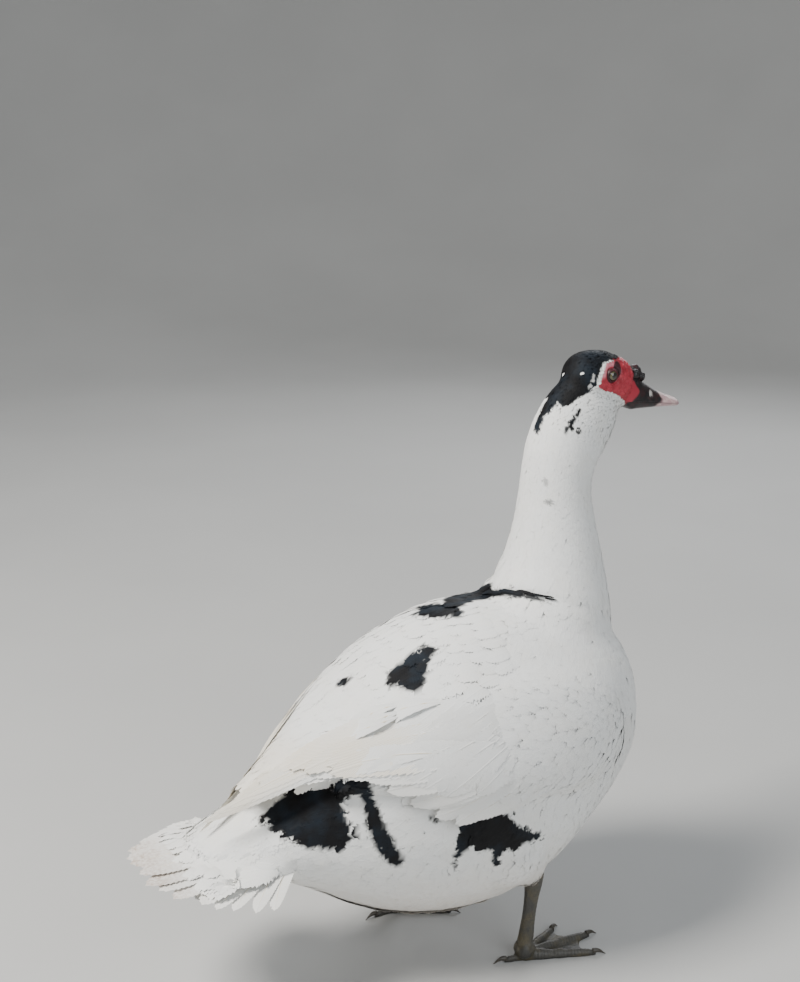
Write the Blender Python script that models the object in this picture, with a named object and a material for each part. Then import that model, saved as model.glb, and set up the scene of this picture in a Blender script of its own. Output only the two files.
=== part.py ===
import math

import bmesh
import bpy
from mathutils import Matrix, Vector

# Muscovy duck, life size, standing still. Metres. +X is the bird's forward, +Y its left, +Z up.

# Clearance between neighbouring solids
GAP = 0.0003
# Points nearer than this after a cut are one point
WELD = 0.00002

# Trunk from the chest back to the tail coverts: x, top, bottom, half width
TRUNK_ROWS = (
    (0.1030, 0.198, 0.182, 0.009),
    (0.1000, 0.215, 0.159, 0.030),
    (0.0905, 0.237, 0.129, 0.051),
    (0.0720, 0.256, 0.105, 0.067),
    (0.0460, 0.269, 0.080, 0.079),
    (0.0130, 0.275, 0.053, 0.087),
    (-0.0260, 0.275, 0.038, 0.090),
    (-0.0680, 0.267, 0.038, 0.088),
    (-0.1080, 0.246, 0.047, 0.080),
    (-0.1420, 0.215, 0.062, 0.068),
    (-0.1700, 0.182, 0.080, 0.056),
    (-0.1970, 0.157, 0.095, 0.046),
    (-0.2260, 0.141, 0.106, 0.037),
    (-0.2480, 0.1315, 0.1140, 0.025),
    (-0.2580, 0.1265, 0.1185, 0.012),
)
TRUNK_RINGS = 22
TRUNK_SIDES = 24
TRUNK_WIDEST = 0.46
TRUNK_UPPER_POWER = 2.4
TRUNK_LOWER_POWER = 2.0

# Neck from inside the shoulders up into the head: x, z, half depth, half width
NECK_ROWS = (
    (0.0210, 0.215, 0.0700, 0.0600),
    (0.0360, 0.255, 0.0560, 0.0530),
    (0.0420, 0.283, 0.0445, 0.0430),
    (0.0435, 0.306, 0.0370, 0.0360),
    (0.0435, 0.331, 0.0310, 0.0305),
    (0.0435, 0.356, 0.0275, 0.0265),
    (0.0470, 0.378, 0.0290, 0.0255),
    (0.0560, 0.397, 0.0315, 0.0240),
    (0.0665, 0.413, 0.0305, 0.0210),
    (0.0735, 0.427, 0.0245, 0.0165),
)
NECK_RINGS = 14
NECK_SIDES = 20

# The head's own frame: its origin lies between the eyes, its x runs along the bill
HEAD_AT = Vector((0.0805, 0.0, 0.4420))
HEAD_PITCH = math.radians(13.0)
HEAD_YAW = math.radians(0.0)
# Head rows in that frame: x, top, bottom, half width
HEAD_ROWS = (
    (-0.0285, -0.0030, -0.0150, 0.0060),
    (-0.0260, 0.0035, -0.0210, 0.0118),
    (-0.0195, 0.0095, -0.0290, 0.0164),
    (-0.0090, 0.0130, -0.0340, 0.0187),
    (0.0020, 0.0138, -0.0345, 0.0178),
    (0.0130, 0.0115, -0.0315, 0.0155),
    (0.0260, 0.0068, -0.0278, 0.0124),
)
HEAD_RINGS = 11
HEAD_SIDES = 20
HEAD_WIDEST = 0.56
HEAD_POWER = 2.1
HEAD_FRONT = 0.0252

# Bill rows in the head's frame: x, top, bottom, half width
BILL_ROWS = (
    (0.0195, 0.0040, -0.0288, 0.0110),
    (0.0300, 0.0010, -0.0276, 0.0114),
    (0.0400, -0.0040, -0.0252, 0.0110),
    (0.0530, -0.0085, -0.0222, 0.0108),
    (0.0670, -0.0115, -0.0194, 0.0104),
    (0.0745, -0.0128, -0.0181, 0.0075),
    (0.0775, -0.0143, -0.0170, 0.0032),
)
BILL_RINGS = 10
BILL_SIDES = 16
BILL_WIDEST = 0.40
BILL_UPPER_POWER = 2.0
BILL_LOWER_POWER = 2.6
# The gape, where the two halves of the bill meet, falls this far below the eyes at both ends
GAPE_BACK = -0.0206
GAPE_TIP = -0.0160
NAIL_START = (0.0680, -0.0130)

# Fleshy knob over the base of the bill: x, y, z, radius in the head's frame
KNOB_LUMPS = (
    (0.0320, 0.0000, 0.0020, 0.0056),
    (0.0365, 0.0028, -0.0012, 0.0040),
    (0.0365, -0.0028, -0.0010, 0.0040),
    (0.0290, 0.0050, 0.0002, 0.0042),
    (0.0290, -0.0050, 0.0002, 0.0042),
)

EYE_RADIUS = 0.0060
EYE_AT = (0.0010, 0.0127, -0.0028)

# Bare red face round each eye: a slice of the head inside an oval seen from the side
FACE_AT = (0.0085, -0.0085)
FACE_LENGTH = 0.0185
FACE_HEIGHT = 0.0152
FACE_TILT = math.radians(-16.0)
FACE_DEPTH = 0.0062
FACE_SIDES = 14
# A place well outside the head, where the cutting prism ends
FACE_OUTSIDE = 0.04

# Folded wing from shoulder to tip, right side:
# x, y, z, half height, half thickness, lean inwards in degrees, how far its edges curl in
WING_ROWS = (
    (0.070, -0.0620, 0.188, 0.0120, 0.0035, 10.0, 0.001),
    (0.053, -0.0745, 0.193, 0.0300, 0.0085, 13.0, 0.004),
    (0.014, -0.0860, 0.198, 0.0430, 0.0098, 17.0, 0.005),
    (-0.036, -0.0885, 0.201, 0.0450, 0.0098, 20.0, 0.005),
    (-0.084, -0.0805, 0.203, 0.0400, 0.0092, 24.0, 0.005),
    (-0.126, -0.0640, 0.200, 0.0305, 0.0085, 30.0, 0.004),
    (-0.162, -0.0490, 0.191, 0.0210, 0.0075, 34.0, 0.002),
    (-0.196, -0.0370, 0.178, 0.0150, 0.0058, 34.0, 0.001),
    (-0.228, -0.0270, 0.165, 0.0090, 0.0038, 32.0, 0.001),
    (-0.250, -0.0210, 0.156, 0.0035, 0.0018, 30.0, 0.000),
)
WING_RINGS = 16
WING_SIDES = 12
WING_POWER = 2.4
# The left wing tip is tucked in under the right one
TUCK_START = -0.070
TUCK_DROP = 0.020
TUCK_INWARDS = 0.014
PRIMARIES_START = -0.158

# Tail fan: the feathers spread from one root and their tips scallop its edge
TAIL_ROOT = Vector((-0.144, 0.0, 0.130))
TAIL_SPREAD = math.radians(44.0)
TAIL_MIDDLE = 0.151
TAIL_OUTER = 0.103
TAIL_FALL = math.radians(5.0)
TAIL_ARCH = 0.012
TAIL_FEATHERS = 17
TAIL_NOTCH = 0.006
TAIL_THICK_ROOT = 0.0060
TAIL_THICK_TIP = 0.0016
TAIL_START = 0.25
TAIL_STEPS = 5
TAIL_POINTS_PER_FEATHER = 2

# Legs: the hock and the joint above the toes, with the right foot forward of the left
LEGS = {
    "right": {
        "hock": Vector((0.000, -0.0530, 0.068)),
        "foot": Vector((-0.008, -0.0540, 0.0)),
        "heading": math.radians(4.0),
        "thigh": Vector((-0.036, -0.0580, 0.112)),
    },
    "left": {
        "hock": Vector((-0.076, 0.0530, 0.068)),
        "foot": Vector((-0.067, 0.0540, 0.0)),
        "heading": math.radians(-4.0),
        "thigh": Vector((-0.066, 0.0580, 0.112)),
    },
}
THIGH_RADII = (0.016, 0.029, 0.034, 0.032, 0.024, 0.015, 0.0100)
SHANK_DEPTH = 0.0057
SHANK_WIDTH = 0.0048
SHANK_FOOT_Z = 0.0155
ANKLE_RADIUS = 0.0084

# Toes: angle outwards, length, half width at the root
TOES = {
    "inner": (math.radians(-26.0), 0.048, 0.0042),
    "middle": (math.radians(0.0), 0.062, 0.0046),
    "outer": (math.radians(25.0), 0.056, 0.0042),
    "hind": (math.radians(-168.0), 0.0165, 0.0032),
}
TOE_HEIGHT_RATIO = 1.75
TOE_TAPER = 0.62
# The flat sole is this share of the toe's width, and the toe is widest this far above it
SOLE_SHARE = 0.86
SOLE_EDGE = 0.0009
TOE_KNUCKLES = {"inner": 2, "middle": 3, "outer": 4, "hind": 1}
WEB_THICKNESS = 0.0018
WEB_REACH = 0.90
WEB_HOLLOW = 0.80
CLAW_LENGTH = 0.0080
CLAW_RADIUS = 0.0023

# Where the body is parted, front to back: a point of each cut and its direction
NECK_CUT = (Vector((0.040, 0.0, 0.284)), Vector((0.20, 0.0, 1.0)))
UPPER_NECK_CUT = (Vector((0.043, 0.0, 0.337)), Vector((0.02, 0.0, 1.0)))
HEAD_CUT = (Vector((0.050, 0.0, 0.400)), Vector((0.50, 0.0, 1.0)))
BREAST_CUT = (Vector((0.056, 0.0, 0.190)), Vector((1.0, 0.0, -0.10)))
RUMP_CUT = (Vector((-0.144, 0.0, 0.143)), Vector((-1.0, 0.0, -0.35)))

# Colour, roughness
FINISHES = {
    "white_feather": ((0.83, 0.83, 0.80), 0.75),
    "flight_feather": ((0.78, 0.75, 0.66), 0.60),
    "tail_feather": ((0.80, 0.79, 0.75), 0.60),
    "red_skin": ((0.55, 0.035, 0.045), 0.45),
    "black_knob": ((0.035, 0.028, 0.030), 0.40),
    "bill_dark": ((0.050, 0.042, 0.045), 0.35),
    "bill_horn": ((0.62, 0.42, 0.38), 0.35),
    "eye": ((0.30, 0.24, 0.05), 0.05),
    "leg_skin": ((0.105, 0.105, 0.090), 0.50),
    "claw": ((0.045, 0.040, 0.036), 0.35),
}


def clear_scene():
    for old in list(bpy.data.objects):
        bpy.data.objects.remove(old, do_unlink=True)


def finish_material(slot):
    material = bpy.data.materials.get(slot)
    if material is None:
        colour, roughness = FINISHES[slot]
        material = bpy.data.materials.new(slot)
        material.use_nodes = True
        shader = material.node_tree.nodes["Principled BSDF"]
        shader.inputs["Base Color"].default_value = (*colour, 1.0)
        shader.inputs["Roughness"].default_value = roughness
        shader.inputs["Metallic"].default_value = 0.0
    return material


# Smooth curve through rows of numbers, read at even steps from the first row to the last
def read_rows(rows, count):
    places = [0.0]
    for low, high in zip(rows, rows[1:]):
        places.append(places[-1] + math.dist(low[:2], high[:2]) ** 0.5)
    total = places[-1]
    found = []
    for step in range(count + 1):
        at = total * step / count
        index = 0
        while index < len(rows) - 2 and at > places[index + 1]:
            index += 1
        found.append(hermite(rows, places, index, at))
    return found


def hermite(rows, places, index, at):
    span = places[index + 1] - places[index]
    t = (at - places[index]) / span
    values = []
    for column in range(len(rows[0])):
        start = rows[index][column]
        end = rows[index + 1][column]
        leave = slope_at(rows, places, index, column) * span
        arrive = slope_at(rows, places, index + 1, column) * span
        values.append(
            start * (2 * t**3 - 3 * t**2 + 1)
            + leave * (t**3 - 2 * t**2 + t)
            + end * (3 * t**2 - 2 * t**3)
            + arrive * (t**3 - t**2)
        )
    return values


def slope_at(rows, places, index, column):
    before = max(index - 1, 0)
    after = min(index + 1, len(rows) - 1)
    return (rows[after][column] - rows[before][column]) / (places[after] - places[before])


def power_cos_sin(angle, power):
    c = math.cos(angle)
    s = math.sin(angle)
    return (
        math.copysign(abs(c) ** (2 / power), c),
        math.copysign(abs(s) ** (2 / power), s),
    )


# Closed skin over a list of rings with the same number of points, both ends capped
def loft(name, rings):
    mesh = bmesh.new()
    loops = [[mesh.verts.new(point) for point in ring] for ring in rings]
    count = len(loops[0])
    for low, high in zip(loops, loops[1:]):
        for i in range(count):
            j = (i + 1) % count
            mesh.faces.new((low[i], low[j], high[j], high[i]))
    mesh.faces.new(loops[0])
    mesh.faces.new(loops[-1])
    bmesh.ops.recalc_face_normals(mesh, faces=mesh.faces)
    return add_object(name, mesh)


def add_object(name, mesh):
    data = bpy.data.meshes.new(name)
    mesh.to_mesh(data)
    mesh.free()
    made = bpy.data.objects.new(name, data)
    bpy.context.scene.collection.objects.link(made)
    return made


def copy_of(source, name):
    made = bpy.data.objects.new(name, source.data.copy())
    bpy.context.scene.collection.objects.link(made)
    return made


def discard(*objects):
    for old in objects:
        bpy.data.objects.remove(old, do_unlink=True)


# Boolean between two closed objects, applied at once
def combine(target, other, operation, keep_other=False):
    modifier = target.modifiers.new("combine", "BOOLEAN")
    modifier.operation = operation
    modifier.solver = "EXACT"
    modifier.object = other
    graph = bpy.context.evaluated_depsgraph_get()
    result = bpy.data.meshes.new_from_object(target.evaluated_get(graph))
    target.modifiers.clear()
    target.data = result
    weld(target)
    if not keep_other:
        discard(other)
    return target


# Specks that a cut leaves behind are closed up
def weld(target):
    mesh = bmesh.new()
    mesh.from_mesh(target.data)
    bmesh.ops.remove_doubles(mesh, verts=mesh.verts, dist=WELD)
    bmesh.ops.dissolve_degenerate(mesh, edges=mesh.edges, dist=WELD)
    bmesh.ops.triangulate(mesh, faces=[face for face in mesh.faces if len(face.verts) > 4])
    mesh.to_mesh(target.data)
    mesh.free()


# The same solid with its skin moved outwards, to cut a seat with clearance all round
def grown(source, amount=GAP):
    bigger = copy_of(source, source.name + "_seat")
    moves = [vertex.normal * amount for vertex in bigger.data.vertices]
    for vertex, move in zip(bigger.data.vertices, moves):
        vertex.co += move
    return bigger


# What lies between two planes: each plane's direction points to the side that is cut away
def slice_between(source, name, *planes):
    mesh = bmesh.new()
    mesh.from_mesh(source.data)
    for point, direction in planes:
        normal = direction.normalized()
        bmesh.ops.bisect_plane(
            mesh,
            geom=mesh.verts[:] + mesh.edges[:] + mesh.faces[:],
            dist=1e-7,
            plane_co=point - normal * GAP / 2,
            plane_no=normal,
            clear_outer=True,
        )
        open_edges = [edge for edge in mesh.edges if edge.is_boundary]
        bmesh.ops.holes_fill(mesh, edges=open_edges, sides=0)
    bmesh.ops.recalc_face_normals(mesh, faces=mesh.faces)
    return add_object(name, mesh)


def flipped(plane):
    return plane[0], -plane[1]


def to_head(point):
    turn = Matrix.Rotation(HEAD_YAW, 3, "Z") @ Matrix.Rotation(HEAD_PITCH, 3, "Y")
    return HEAD_AT + turn @ Vector(point)


# Ring in an upright plane across the body, with its widest place part of the way up
def body_ring(x, top, bottom, half_width, sides, widest, upper, lower):
    middle = bottom + widest * (top - bottom)
    ring = []
    for i in range(sides):
        angle = 2 * math.pi * (i + 0.5) / sides
        power = upper if math.sin(angle) > 0 else lower
        across, up = power_cos_sin(angle, power)
        reach = top - middle if up > 0 else middle - bottom
        ring.append(Vector((x, half_width * across, middle + reach * up)))
    return ring


def make_trunk():
    rings = []
    for x, top, bottom, half_width in read_rows(TRUNK_ROWS, TRUNK_RINGS):
        rings.append(
            body_ring(
                x, top, bottom, half_width, TRUNK_SIDES,
                TRUNK_WIDEST, TRUNK_UPPER_POWER, TRUNK_LOWER_POWER,
            )
        )
    return loft("trunk_whole", rings)


def make_neck():
    rows = read_rows(NECK_ROWS, NECK_RINGS)
    rings = []
    for index, (x, z, depth, width) in enumerate(rows):
        before = rows[max(index - 1, 0)]
        after = rows[min(index + 1, len(rows) - 1)]
        along = Vector((after[0] - before[0], 0.0, after[1] - before[1])).normalized()
        fore = Vector((along.z, 0.0, -along.x))
        ring = []
        for i in range(NECK_SIDES):
            angle = 2 * math.pi * i / NECK_SIDES
            side = Vector((0.0, width * math.sin(angle), 0.0))
            ring.append(Vector((x, 0.0, z)) + fore * depth * math.cos(angle) + side)
        rings.append(ring)
    return loft("neck_whole", rings)


def make_head():
    rings = []
    for x, top, bottom, half_width in read_rows(HEAD_ROWS, HEAD_RINGS):
        ring = body_ring(
            x, top, bottom, half_width, HEAD_SIDES, HEAD_WIDEST, HEAD_POWER, HEAD_POWER
        )
        rings.append([to_head(point) for point in ring])
    return loft("head_whole", rings)


def make_bill():
    rings = []
    for x, top, bottom, half_width in read_rows(BILL_ROWS, BILL_RINGS):
        ring = body_ring(
            x, top, bottom, half_width, BILL_SIDES,
            BILL_WIDEST, BILL_UPPER_POWER, BILL_LOWER_POWER,
        )
        rings.append([to_head(point) for point in ring])
    return loft("bill_whole", rings)


def head_plane(point, direction):
    return to_head(point), to_head(direction) - HEAD_AT


def bill_nodes():
    whole = make_bill()
    base = head_plane((HEAD_FRONT + GAP, 0, 0), (-1, 0, 0))
    run = BILL_ROWS[-1][0] - HEAD_FRONT
    rise = (GAPE_TIP - GAPE_BACK) / run
    gape = head_plane((HEAD_FRONT, 0, GAPE_BACK), (rise, 0, -1))
    nail = head_plane((NAIL_START[0], 0, NAIL_START[1]), (1, 0, 0.25))
    upper = slice_between(whole, "bill_upper", base, gape, nail)
    lower = slice_between(whole, "bill_lower", base, flipped(gape))
    tip = slice_between(whole, "bill_nail", flipped(nail), gape)
    discard(whole)
    return upper, lower, tip


def ball(name, centre, radius, segments=12, rings=8):
    mesh = bmesh.new()
    bmesh.ops.create_uvsphere(mesh, u_segments=segments, v_segments=rings, radius=radius)
    bmesh.ops.translate(mesh, verts=mesh.verts, vec=centre)
    return add_object(name, mesh)


def make_knob():
    knob = None
    for x, y, z, radius in KNOB_LUMPS:
        lump = ball("lump", to_head((x, y, z)), radius, 8, 6)
        if knob is None:
            knob = lump
            knob.name = "knob"
        else:
            combine(knob, lump, "UNION")
    return knob


# Prism with an oval outline as seen from the bird's side, from inside the head outwards
def face_oval(side, grow, depth):
    rings = []
    for y in ((EYE_AT[1] - depth) * side, FACE_OUTSIDE * side):
        ring = []
        for i in range(FACE_SIDES):
            angle = 2 * math.pi * i / FACE_SIDES
            along = (FACE_LENGTH + grow) * math.cos(angle)
            up = (FACE_HEIGHT + grow) * math.sin(angle)
            x = FACE_AT[0] + along * math.cos(FACE_TILT) - up * math.sin(FACE_TILT)
            z = FACE_AT[1] + along * math.sin(FACE_TILT) + up * math.cos(FACE_TILT)
            ring.append(to_head((x, y, z)))
        rings.append(ring)
    return loft("face_oval", rings)


def wing_ring(side, row):
    x, y, z, half_height, half_thick, lean, curl = row
    if side > 0 and x < TUCK_START:
        share = (x - TUCK_START) / (WING_ROWS[-1][0] - TUCK_START)
        y += TUCK_INWARDS * share
        z -= TUCK_DROP * share
    tilt = math.radians(lean)
    up = Vector((0.0, -side * math.sin(tilt), math.cos(tilt)))
    out = Vector((0.0, side * math.cos(tilt), math.sin(tilt)))
    centre = Vector((x, -side * y, z))
    ring = []
    for i in range(WING_SIDES):
        angle = 2 * math.pi * i / WING_SIDES
        across, along = power_cos_sin(angle, WING_POWER)
        off = half_thick * across - curl * along**2
        ring.append(centre + out * off + up * half_height * along)
    return ring


def make_wing(side, name):
    rows = read_rows(WING_ROWS, WING_RINGS)
    return loft(name, [wing_ring(side, row) for row in rows])


def tail_length(angle):
    share = abs(angle) / TAIL_SPREAD
    length = TAIL_MIDDLE + (TAIL_OUTER - TAIL_MIDDLE) * share**1.6
    phase = (angle / TAIL_SPREAD + 1) / 2 * TAIL_FEATHERS
    return length - TAIL_NOTCH * (2 * abs(phase - math.floor(phase) - 0.5)) ** 2


def tail_point(angle, reach, lift):
    out = Vector((-math.cos(angle), math.sin(angle), 0.0)) * reach
    arch = TAIL_ARCH * (math.sin(angle) / math.sin(TAIL_SPREAD)) ** 2 * reach / TAIL_OUTER
    drop = reach * math.sin(TAIL_FALL) + arch
    return TAIL_ROOT + out + Vector((0.0, 0.0, lift - drop))


def make_tail():
    across = TAIL_FEATHERS * TAIL_POINTS_PER_FEATHER
    rings = []
    for i in range(across + 1):
        angle = TAIL_SPREAD * (2 * i / across - 1)
        top = []
        under = []
        for j in range(TAIL_STEPS + 1):
            share = TAIL_START + (1 - TAIL_START) * j / TAIL_STEPS
            half = (TAIL_THICK_ROOT + (TAIL_THICK_TIP - TAIL_THICK_ROOT) * share) / 2
            reach = tail_length(angle) * share
            top.append(tail_point(angle, reach, half))
            under.append(tail_point(angle, reach, -half))
        rings.append(top + under[::-1])
    return loft("tail_fan", rings)


# Round limb through a few centres, each with its own radii
def limb(name, centres, depths, widths, sides):
    rings = []
    for index, centre in enumerate(centres):
        before = centres[max(index - 1, 0)]
        after = centres[min(index + 1, len(centres) - 1)]
        along = (after - before).normalized()
        side = Vector((0.0, 1.0, 0.0))
        fore = side.cross(along).normalized()
        side = along.cross(fore)
        ring = []
        for i in range(sides):
            angle = 2 * math.pi * i / sides
            ring.append(
                centre
                + fore * depths[index] * math.cos(angle)
                + side * widths[index] * math.sin(angle)
            )
        rings.append(ring)
    return loft(name, rings)


def make_thigh(name, leg):
    start = leg["thigh"] + (leg["thigh"] - leg["hock"]) * 0.25
    count = len(THIGH_RADII)
    centres = [start.lerp(leg["hock"], i / (count - 1)) for i in range(count)]
    widths = [radius * 0.9 for radius in THIGH_RADII]
    return limb(name, centres, THIGH_RADII, widths, 18)


def make_shank(name, leg):
    ankle = leg["foot"] + Vector((0.0, 0.0, SHANK_FOOT_Z * 0.75))
    top = leg["hock"] + (leg["hock"] - ankle) * 0.05
    swell = (1.30, 1.22, 1.0, 0.92, 0.94, 1.05, 1.15)
    count = len(swell)
    centres = [top.lerp(ankle, i / (count - 1)) for i in range(count)]
    depths = [SHANK_DEPTH * s for s in swell]
    widths = [SHANK_WIDTH * s for s in swell]
    whole = limb("shank_whole", centres, depths, widths, 12)
    level = (Vector((0.0, 0.0, SHANK_FOOT_Z)), Vector((0.0, 0.0, -1.0)))
    shank = slice_between(whole, name, level)
    discard(whole)
    return shank


# Toe with a flat sole, a rounded back and a swelling at each joint
def make_toe(name, joint, direction, length, half_width, knuckles):
    side = Vector((-direction.y, direction.x, 0.0))
    steps = 2 * knuckles + 2
    arc = 4
    rings = []
    for i in range(steps + 1):
        share = i / steps
        swell = 1 + 0.10 * math.cos(2 * math.pi * share * knuckles)
        taper = 1 - (1 - TOE_TAPER) * share
        round_end = math.sqrt(max(1 - max((share - 0.90) / 0.12, 0.0) ** 2, 0.05))
        width = half_width * taper * swell * round_end
        height = width * TOE_HEIGHT_RATIO * (1.25 - 0.25 * min(share * 4, 1))
        centre = joint + direction * length * share
        ring = []
        for k in range(arc + 1):
            angle = math.pi * k / arc
            ring.append(
                centre
                + side * width * math.cos(angle)
                + Vector((0.0, 0.0, SOLE_EDGE + (height - SOLE_EDGE) * math.sin(angle)))
            )
        ring.append(centre - side * width * SOLE_SHARE)
        ring.append(centre + side * width * SOLE_SHARE)
        rings.append(ring)
    return loft(name, rings)


# Web between two toes, its front edge a shallow hollow curve
def make_web(name, joint, first, second):
    mesh = bmesh.new()
    far = first[0] * first[1] * WEB_REACH
    near = second[0] * second[1] * WEB_REACH
    middle = (far + near) / 2 * WEB_HOLLOW
    outline = [Vector((0.0, 0.0, 0.0))]
    for i in range(9):
        t = i / 8
        outline.append(far * (1 - t) ** 2 + 2 * middle * t * (1 - t) + near * t**2)
    base = [mesh.verts.new(joint + point) for point in outline]
    face = mesh.faces.new(base)
    lifted = bmesh.ops.extrude_face_region(mesh, geom=[face])
    tops = [item for item in lifted["geom"] if isinstance(item, bmesh.types.BMVert)]
    bmesh.ops.translate(mesh, verts=tops, vec=(0.0, 0.0, WEB_THICKNESS))
    bmesh.ops.recalc_face_normals(mesh, faces=mesh.faces)
    return add_object(name, mesh)


def make_claw(name, root, direction):
    rings = []
    steps = 4
    for i in range(steps + 1):
        share = i / steps
        radius = CLAW_RADIUS * (1 - 0.88 * share)
        bend = 0.0012 * math.sin(math.pi * min(share * 1.2, 1))
        centre = root + direction * (GAP + CLAW_LENGTH * share)
        centre.z = radius + bend
        side = Vector((-direction.y, direction.x, 0.0))
        ring = []
        for k in range(6):
            angle = 2 * math.pi * (k + 0.5) / 6
            up = Vector((0.0, 0.0, radius * math.sin(angle)))
            ring.append(centre + side * radius * 0.8 * math.cos(angle) + up)
        rings.append(ring)
    return loft(name, rings)


def make_foot(side_name, side, leg):
    joint = leg["foot"]
    vectors = {}
    for toe, (angle, length, half_width) in TOES.items():
        turned = leg["heading"] + side * angle
        vectors[toe] = (Vector((math.cos(turned), math.sin(turned), 0.0)), length, half_width)
    ankle = joint + Vector((0, 0, ANKLE_RADIUS + GAP))
    foot = ball("foot_" + side_name, ankle, ANKLE_RADIUS, 10, 6)
    claws = []
    for toe, (direction, length, half_width) in vectors.items():
        solid = make_toe("toe", joint, direction, length, half_width, TOE_KNUCKLES[toe])
        combine(foot, solid, "UNION")
        name = "claw_" + toe + "_" + side_name
        claws.append(make_claw(name, joint + direction * length, direction))
    for first, second in (("inner", "middle"), ("middle", "outer")):
        web = make_web("web", joint, vectors[first], vectors[second])
        combine(foot, web, "UNION")
    level = (Vector((0.0, 0.0, SHANK_FOOT_Z)), Vector((0.0, 0.0, 1.0)))
    parted = slice_between(foot, "foot", level)
    name = foot.name
    discard(foot)
    parted.name = name
    return parted, claws


def dress(made, slot):
    made.data.materials.clear()
    made.data.materials.append(finish_material(slot))
    made.data.shade_smooth()
    made.data.set_sharp_from_angle(angle=math.radians(42))
    return made


# Stand the finished bird with the middle of its box over the origin
def centre_all(objects):
    corners = [o.matrix_world @ v.co for o in objects for v in o.data.vertices]
    middle_x = (min(c.x for c in corners) + max(c.x for c in corners)) / 2
    middle_y = (min(c.y for c in corners) + max(c.y for c in corners)) / 2
    lowest = min(c.z for c in corners)
    shift = Matrix.Translation((-middle_x, -middle_y, -lowest))
    for made in objects:
        made.data.transform(shift)


def main():
    clear_scene()
    body = make_trunk()
    trunk_seat = grown(body)
    combine(body, make_neck(), "UNION")
    combine(body, make_head(), "UNION")

    head_end = head_plane((HEAD_FRONT, 0, 0), (1, 0, 0))
    head = slice_between(body, "head", flipped(HEAD_CUT), head_end)
    upper_neck = slice_between(body, "neck_upper", HEAD_CUT, flipped(UPPER_NECK_CUT))
    lower_neck = slice_between(body, "neck_lower", UPPER_NECK_CUT, flipped(NECK_CUT))
    breast = slice_between(body, "breast", NECK_CUT, flipped(BREAST_CUT))
    trunk = slice_between(body, "trunk", NECK_CUT, BREAST_CUT, RUMP_CUT)
    rump = slice_between(body, "rump", flipped(RUMP_CUT))
    discard(body)

    made = []
    for side_name, side in (("right", -1), ("left", 1)):
        eye = ball(
            "eye_" + side_name,
            to_head((EYE_AT[0], EYE_AT[1] * side, EYE_AT[2])),
            EYE_RADIUS, 12, 8,
        )
        oval = face_oval(side, 0.0, FACE_DEPTH)
        face = combine(copy_of(head, "face_" + side_name), oval, "INTERSECT")
        combine(head, face_oval(side, GAP, FACE_DEPTH + GAP), "DIFFERENCE")
        combine(face, grown(eye), "DIFFERENCE")
        combine(head, grown(eye), "DIFFERENCE")
        made.append(dress(eye, "eye"))
        made.append(dress(face, "red_skin"))

    knob = make_knob()
    upper, lower, nail = bill_nodes()
    combine(knob, grown(head), "DIFFERENCE")
    combine(knob, grown(upper), "DIFFERENCE")
    made.append(dress(knob, "black_knob"))
    made.append(dress(upper, "bill_dark"))
    made.append(dress(lower, "bill_dark"))
    made.append(dress(nail, "bill_horn"))

    for side_name, side in (("right", -1), ("left", 1)):
        wing_whole = make_wing(side, "wing_whole")
        combine(wing_whole, copy_of(trunk_seat, "seat"), "DIFFERENCE")
        tip_cut = (Vector((PRIMARIES_START, 0.0, 0.2)), Vector((-1.0, 0.0, 0.35)))
        made.append(dress(slice_between(wing_whole, "wing_" + side_name, tip_cut), "white_feather"))
        primaries = slice_between(wing_whole, "primaries_" + side_name, flipped(tip_cut))
        made.append(dress(primaries, "flight_feather"))
        discard(wing_whole)

        leg = LEGS[side_name]
        thigh = make_thigh("thigh_" + side_name, leg)
        shank = make_shank("shank_" + side_name, leg)
        for piece in (breast, trunk, rump):
            combine(piece, grown(thigh), "DIFFERENCE")
            combine(piece, grown(shank), "DIFFERENCE")
        combine(thigh, grown(shank), "DIFFERENCE")
        foot, claws = make_foot(side_name, side, leg)
        made.append(dress(thigh, "white_feather"))
        made.append(dress(shank, "leg_skin"))
        made.append(dress(foot, "leg_skin"))
        for claw in claws:
            made.append(dress(claw, "claw"))

    tail = make_tail()
    combine(tail, trunk_seat, "DIFFERENCE")
    made.append(dress(tail, "tail_feather"))
    for piece in (head, upper_neck, lower_neck, breast, trunk, rump):
        made.append(dress(piece, "white_feather"))
    centre_all(made)


main()
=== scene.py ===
import math
import time

import bmesh
import bpy
import numpy as np
from mathutils import Matrix, Vector
from mathutils.bvhtree import BVHTree


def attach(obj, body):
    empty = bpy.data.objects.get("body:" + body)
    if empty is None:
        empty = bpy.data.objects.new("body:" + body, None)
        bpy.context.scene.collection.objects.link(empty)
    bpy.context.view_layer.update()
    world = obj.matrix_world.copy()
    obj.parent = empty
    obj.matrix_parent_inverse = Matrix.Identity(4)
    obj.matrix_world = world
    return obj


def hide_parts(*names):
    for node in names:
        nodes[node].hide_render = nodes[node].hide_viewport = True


# Muscovy duck: one skin, feather meshes over it, bare face, bill, eyes, legs. Metres, the frame's own axes.

startTime = time.time()
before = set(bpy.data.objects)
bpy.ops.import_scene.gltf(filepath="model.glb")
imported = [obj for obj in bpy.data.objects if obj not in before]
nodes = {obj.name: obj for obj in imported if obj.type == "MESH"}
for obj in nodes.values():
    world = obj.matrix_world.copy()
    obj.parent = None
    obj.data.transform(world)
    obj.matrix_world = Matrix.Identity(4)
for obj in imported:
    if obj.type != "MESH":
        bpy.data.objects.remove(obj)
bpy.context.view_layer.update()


def tell(stage):
    print(f"{stage} ({time.time() - startTime:.0f} s)")


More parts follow.
